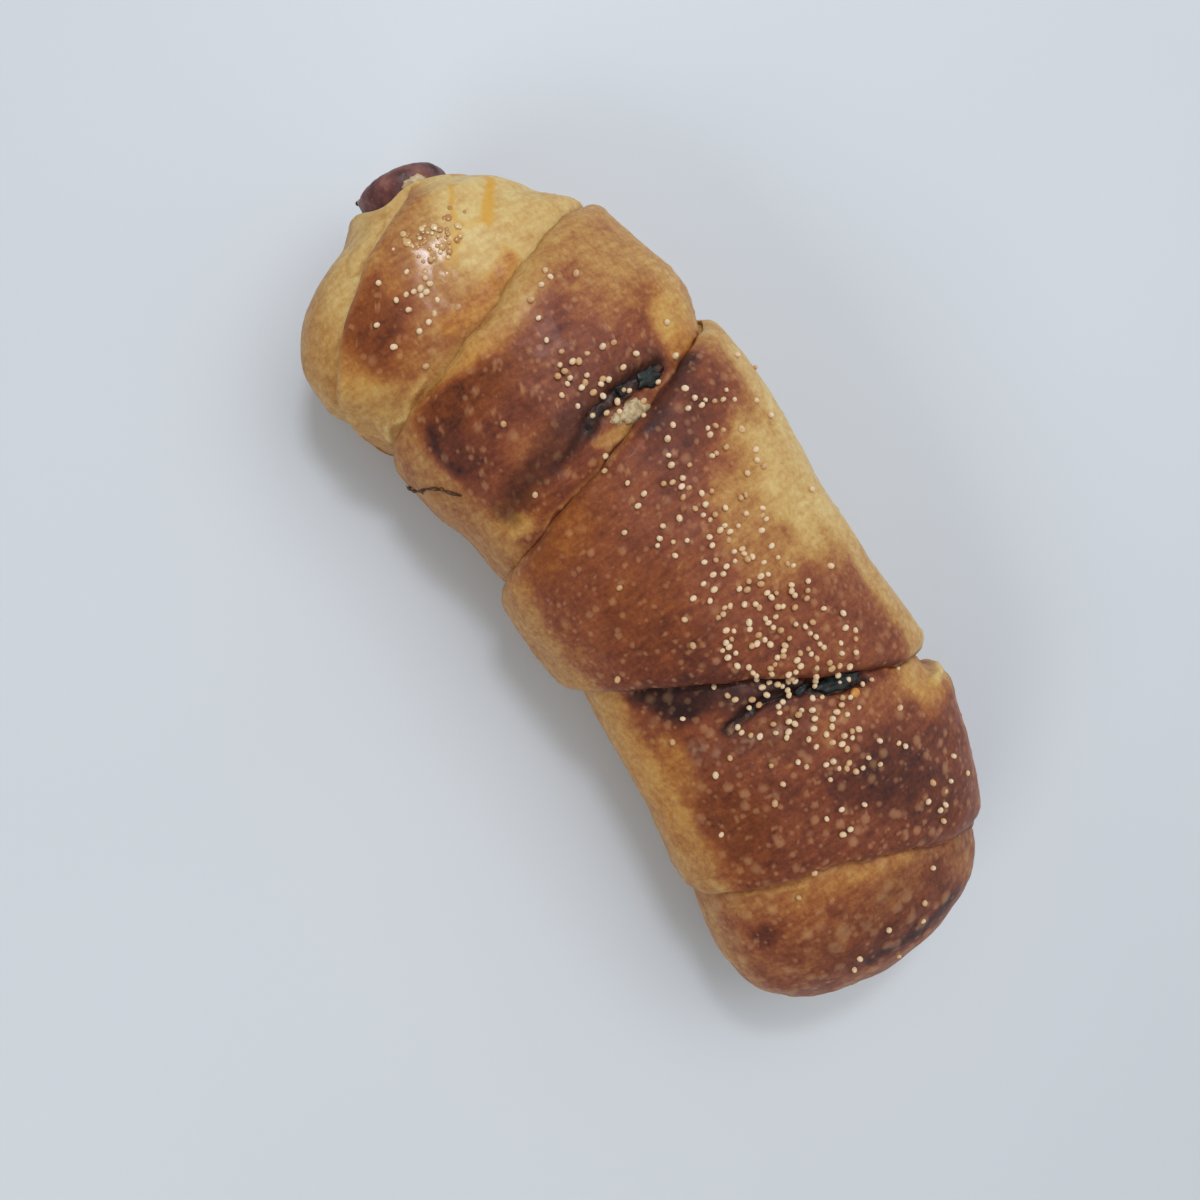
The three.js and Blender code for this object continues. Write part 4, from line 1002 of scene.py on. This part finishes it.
# Baked white cheese: dry and grainy. It looks cream, toasted tan in places, and the melted bead orange.
baked_cheese, tree, place = start_material("baked_cheese")
cloud = add(tree, "ShaderNodeTexNoise", {"Vector": place, "Scale": 1 / (1.43 * MM), "Detail": 4})
curd = add(tree, "ShaderNodeValToRGB", {"Fac": cloud})
fill_ramp(curd.color_ramp, [(0.3, "#8f7650"), (0.5, "#bba278"), (0.7, "#d6c6a4")])
melted = add(tree, "ShaderNodeAttribute", attribute_name="orange").outputs["Fac"]
orange_cheese = add(tree, "ShaderNodeValToRGB", {"Fac": cloud})
fill_ramp(orange_cheese.color_ramp, [(0.3, "#b5702c"), (0.7, "#e0a455")])
cheese_colour = add(tree, "ShaderNodeMixRGB", {"Fac": melted, "Color1": curd, "Color2": orange_cheese})
curd_bump = add(tree, "ShaderNodeBump", {"Height": cloud, "Strength": 0.7, "Distance": 0.3 * MM})
shader = add(tree, "ShaderNodeBsdfPrincipled",
             {"Base Color": cheese_colour, "Roughness": 0.55, "IOR": 1.45,
              "Subsurface Weight": 0.1, "Subsurface Scale": 1 * MM, "Normal": curd_bump})
add(tree, "ShaderNodeOutputMaterial", {"Surface": shader})

parts = []
for x, angle, along_size, round_size, up_size, orange in CRUMBS:
    out = outward(x, angle)
    along = lengthways(out)
    turned = (ball_points[:, :1] * along * along_size
              + ball_points[:, 1:2] * np.cross(out, along) * round_size
              + ball_points[:, 2:] * out * up_size)
    rough = (1 - orange) * CURD_LUMPS * grain(turned + x, 1.3, 3)
    parts.append((on_dough(x, angle, 0.1) + turned * (1 + rough)[:, None], ball_faces))
blob = ball_points * MOUTH_CRUMB["size"]
parts.append((MOUTH_CRUMB["at"] + blob * (1 + 0.4 * grain(blob, 1.2, 3))[:, None], ball_faces))
crumb_points, crumb_faces = joined(parts)
make_piece("cheese_crumbs", crumb_points, crumb_faces, baked_cheese,
           {"orange": np.repeat([crumb[-1] for crumb in CRUMBS] + [0], len(ball_points))})

# ---------------------------------------------------------------- the dried sprig
# A bit of dried herb stem fell on the glaze and baked onto the -Y flank. Its leaves have shrunk to dark
# scraps at the outer end.

SPRIG_LINE = [[-41.7, -97], [-39.4, -84], [-37.4, -72], [-33, -64]]
SPRIG_RADIUS, SPRIG_LIFT, SPRIG_STEPS, SPRIG_SIDES = 0.36, 0.22, 50, 10
SCRAPS = [  # x, angle, length, width, turn of its length from the roll's axis
    (-41.8, -96, 1.7, 0.7, 20), (-41.2, -91, 1.4, 0.6, 120), (-40.6, -88, 1.6, 0.6, 60),
    (-38.4, -79, 1.3, 0.5, 150), (-36.3, -68.5, 1.5, 0.6, 30),
]
SCRAP_LOBES, SCRAP_LIFT = 2, 0.25

# Dried herb: woody and matt. It looks dark brown to tan, leaves and all.
dried_herb, tree, place = start_material("dried_herb")
cloud = add(tree, "ShaderNodeTexNoise", {"Vector": place, "Scale": 1 / (1.11 * MM), "Detail": 3})
bark = add(tree, "ShaderNodeValToRGB", {"Fac": cloud})
fill_ramp(bark.color_ramp, [(0.35, "#2c1c12"), (0.55, "#553722"), (0.75, "#86603c")])
bark_bump = add(tree, "ShaderNodeBump", {"Height": cloud, "Strength": 0.6, "Distance": 0.1 * MM})
shader = add(tree, "ShaderNodeBsdfPrincipled", {"Base Color": bark, "Roughness": 0.7, "Normal": bark_bump})
add(tree, "ShaderNodeOutputMaterial", {"Surface": shader})

where = along_line(SPRIG_LINE, np.linspace(0, 1, SPRIG_STEPS))
stem_line = on_dough(where[:, 0], where[:, 1], np.full(SPRIG_STEPS, SPRIG_LIFT))
ahead = unit(np.gradient(stem_line, axis=0))
out = outward(where[:, 0], where[:, 1])
side = unit(np.cross(ahead, out))
phi = (np.arange(SPRIG_SIDES) * 2 * np.pi / SPRIG_SIDES)[:, None]
knobbly = SPRIG_RADIUS * (0.75 + 0.3 * np.sin(np.linspace(0, 30, SPRIG_STEPS)))[:, None, None]
stem = stem_line[:, None] + knobbly * (side[:, None] * np.cos(phi) + out[:, None] * np.sin(phi))
parts = [(np.concatenate([stem.reshape(-1, 3), stem_line[[0, -1]]]), tube_faces(SPRIG_STEPS, SPRIG_SIDES))]
parts += [leaf_blade(*scrap, SCRAP_LOBES, SCRAP_LIFT) for scrap in SCRAPS]
make_piece("dried_sprig", *joined(parts), dried_herb)

# ---------------------------------------------------------------- poppy seed
# White poppy seed was strewn over the wet glaze by hand, so it lies in drifts over the top of the roll.
# Each seed is a pale kidney about a millimetre long, held by the egg it sank into.

DRIFTS = [  # x, angle, spreads along and round, how many
    (-66.5, -23, 3.2, 8, 20), (-55, 10, 4, 24, 6), (-35, 3, 5.5, 12, 34), (-20, 22, 7, 18, 38),
    (-2, 10, 7, 9, 54), (18, 3, 8, 13, 104), (34, -4, 5, 18, 66), (46, 2, 8, 18, 60),
    (70, 35, 6, 9, 10), (92, 0, 4, 30, 6), (5, -10, 45, 30, 22),
]
SEED = {"smallest": 0.52, "largest": 0.72, "sunk": 0.34, "sunk_in_split": 0.84, "within_split": -0.8,
        "apart": 0.95, "draw": 7, "from": -82, "to": 97, "reach": 78}
SEED_SHAPE = [1.08, 0.9, 0.86]                    # of its radius, before the dent
DENT, DENT_AT, DENT_WIDTH = 0.28, [0.2, 0.95, 0], 0.5  # the dent that makes it a kidney


def make_random(start):
    """A repeatable stream of random numbers between 0 and 1."""
    state = start

    def times(a, b):
        return (a * b) & 0xFFFFFFFF

    def draw():
        nonlocal state
        state = (state + 0x6D2B79F5) & 0xFFFFFFFF
        t = times(state ^ (state >> 15), 1 | state)
        t = ((t + times(t ^ (t >> 7), 61 | t)) & 0xFFFFFFFF) ^ t
        return (t ^ (t >> 14)) / 4294967296
    return draw


random = make_random(SEED["draw"])


def bell():
    """A random number round 0 that is seldom beyond 2."""
    distance = math.sqrt(-2 * math.log(1 - random()))
    return distance * math.cos(2 * math.pi * random())


seeds = []
for drift_x, drift_angle, spread_along, spread_round, count in DRIFTS:
    for _ in range(count):
        x = drift_x + spread_along * bell()
        angle = drift_angle + spread_round * bell()
        radius = SEED["smallest"] + (SEED["largest"] - SEED["smallest"]) * random()
        turns = [random() * 2 * math.pi for _ in range(3)]
        seeds.append((radius, x, angle, turns))

dent = np.exp(-((small_points - DENT_AT) ** 2).sum(1) / DENT_WIDTH ** 2)
kernel_points = small_points * SEED_SHAPE * (1 - DENT * dent)[:, None]

parts, toasts, placed = [], [], []
for radius, x, angle, turns in sorted(seeds, key=lambda s: -s[0]):
    if not (SEED["from"] < x < SEED["to"] and abs(angle) < SEED["reach"]):
        continue
    ground = on_dough(x, angle)
    in_split = min(float(near_split(s, ground)) for s in SPLITS.values()) < SEED["within_split"]
    lift = radius - SEED["sunk_in_split" if in_split else "sunk"]
    centre = ground + outward(x, angle) * lift
    if placed and np.min(np.linalg.norm(np.array(placed) - centre, axis=1)) < SEED["apart"]:
        continue
    turn = np.array(Matrix.Rotation(turns[0], 3, "X") @ Matrix.Rotation(turns[1], 3, "Y")
                    @ Matrix.Rotation(turns[2], 3, "Z"))
    parts.append((centre + kernel_points @ turn.T * radius, small_faces))
    toasts.append((turns[0] * 7.7) % 1)  # how toasted: a share drawn from its first turn
    placed.append(centre)
seed_points, seed_faces = joined(parts)
roll_low, roll_high = own_lines([cad_low, cad_high])
seed_points = np.clip(seed_points, roll_low + INSET, roll_high - INSET)

# White poppy seed: a dry pitted coat. It looks cream, and tan where a seed is toasted.
poppy_coat, tree, place = start_material("white_poppy_coat")
toast = add(tree, "ShaderNodeAttribute", attribute_name="toast").outputs["Fac"]
pits = add(tree, "ShaderNodeTexVoronoi", {"Vector": place, "Scale": 1 / (0.192 * MM)})
uneven = add(tree, "ShaderNodeTexNoise", {"Vector": place, "Scale": 1 / (0.667 * MM), "Detail": 2})
blend = add(tree, "ShaderNodeMath", {0: uneven, 1: 0.35, 2: toast}, operation="MULTIPLY_ADD")
seed_colour = add(tree, "ShaderNodeValToRGB", {"Fac": blend})
fill_ramp(seed_colour.color_ramp, [(0.0, "#ecd5b2"), (0.8, "#e2c49a"), (1.0, "#cda474")])
pit_bump = add(tree, "ShaderNodeBump", {"Height": pits, "Strength": 0.5, "Distance": 0.05 * MM})
shader = add(tree, "ShaderNodeBsdfPrincipled",
             {"Base Color": seed_colour, "Roughness": 0.5, "IOR": 1.45,
              "Subsurface Weight": 0.15, "Subsurface Scale": 0.4 * MM, "Normal": pit_bump})
add(tree, "ShaderNodeOutputMaterial", {"Surface": shader})
make_piece("poppy_seeds", seed_points, seed_faces, poppy_coat,
           {"toast": np.repeat(toasts, len(small_points))})

# ---------------------------------------------------------------- board, light and camera
# The roll lies on a plain pale board in a white room, between a large soft window and a farther one on the
# other side. The skylight is small, and the only one of the three that shows in the glaze.

BOARD_HALF = 1.5  # metres
board_mesh = bpy.data.meshes.new("pale_board")
corners = [(x * BOARD_HALF, y * BOARD_HALF, 0) for x, y in ((-1, -1), (1, -1), (1, 1), (-1, 1))]
board_mesh.from_pydata(corners, [], [(0, 1, 2, 3)])
board = bpy.data.objects.new("pale_board", board_mesh)
bpy.context.scene.collection.objects.link(board)
# Satin white board: painted, with the faintest mottling.
painted_board, tree, place = start_material("painted_board")
cloud = add(tree, "ShaderNodeTexNoise", {"Vector": place, "Scale": 1 / (167 * MM), "Detail": 2})
paint_tone = add(tree, "ShaderNodeValToRGB", {"Fac": cloud})
fill_ramp(paint_tone.color_ramp, [(0.3, "#d0d5d9"), (0.7, "#d4d9dd")])
shader = add(tree, "ShaderNodeBsdfPrincipled", {"Base Color": paint_tone, "Roughness": 0.5})
add(tree, "ShaderNodeOutputMaterial", {"Surface": shader})
board_mesh.materials.append(painted_board)
board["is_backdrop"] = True

room = bpy.data.worlds.new("white_room")
room.use_nodes = True
tree = room.node_tree
sky_place = add(tree, "ShaderNodeTexCoord")
sides = add(tree, "ShaderNodeSeparateXYZ", {"Vector": sky_place.outputs["Generated"]})
brighter = add(tree, "ShaderNodeMapRange",
               {"Value": sides.outputs["Y"], "From Min": -0.4, "From Max": 0.8,  # towards the window
                "To Min": 0.3, "To Max": 0.75})
back = tree.nodes["Background"]
back.inputs["Color"].default_value = linear("#eef0f2")
tree.links.new(brighter.outputs["Result"], back.inputs["Strength"])
bpy.context.scene.world = room

LIGHTS = [  # name, place, width, height, watts, colour, whether it shows in the glaze
    ("window", (-0.1, 0.42, 0.8), 0.8, 0.6, 2.7, "#fafbff", False),
    ("skylight", (-0.35, 0.2, 0.76), 0.16, 0.1, 1.6, "#eef3ff", True),
    ("far_window", (0.12, -0.75, 0.52), 0.5, 0.3, 2.6, "#ffffff", False),
]
for name, spot_place, width, height, watts, code, in_glaze in LIGHTS:
    lamp = bpy.data.lights.new(name, "AREA")
    lamp.shape, lamp.size, lamp.size_y, lamp.energy = "RECTANGLE", width, height, watts
    lamp.color = linear(code)[:3]
    holder = bpy.data.objects.new(name, lamp)
    holder.location = spot_place
    holder.rotation_euler = (-Vector(spot_place)).to_track_quat("-Z", "Y").to_euler()
    holder.visible_glossy = in_glaze
    bpy.context.scene.collection.objects.link(holder)

# The camera looks almost straight down, from the -Y side, with the roll running down to the right.
LENS_AT = [-18.99, -50.06, 247.51]  # mm, along the roll's own lines
lens = bpy.data.cameras.new("camera")
lens.lens, lens.sensor_width = 33.0, 36.0
lens.clip_start, lens.clip_end = 0.01, 10
camera = bpy.data.objects.new("camera", lens)
to_right, to_top = Vector((0.56192, 0.80891, 0.17296)), Vector((-0.82303, 0.56767, 0.01900))
place_matrix = Matrix((to_right, to_top, to_right.cross(to_top))).transposed().to_4x4()
place_matrix.translation = Vector(((LENS_AT - MIDDLE) * MM).tolist())
camera.matrix_world = place_matrix
bpy.context.scene.collection.objects.link(camera)
bpy.context.scene.camera = camera
bpy.context.scene.view_settings.view_transform = "Standard"

bpy.context.view_layer.update()
low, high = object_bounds()
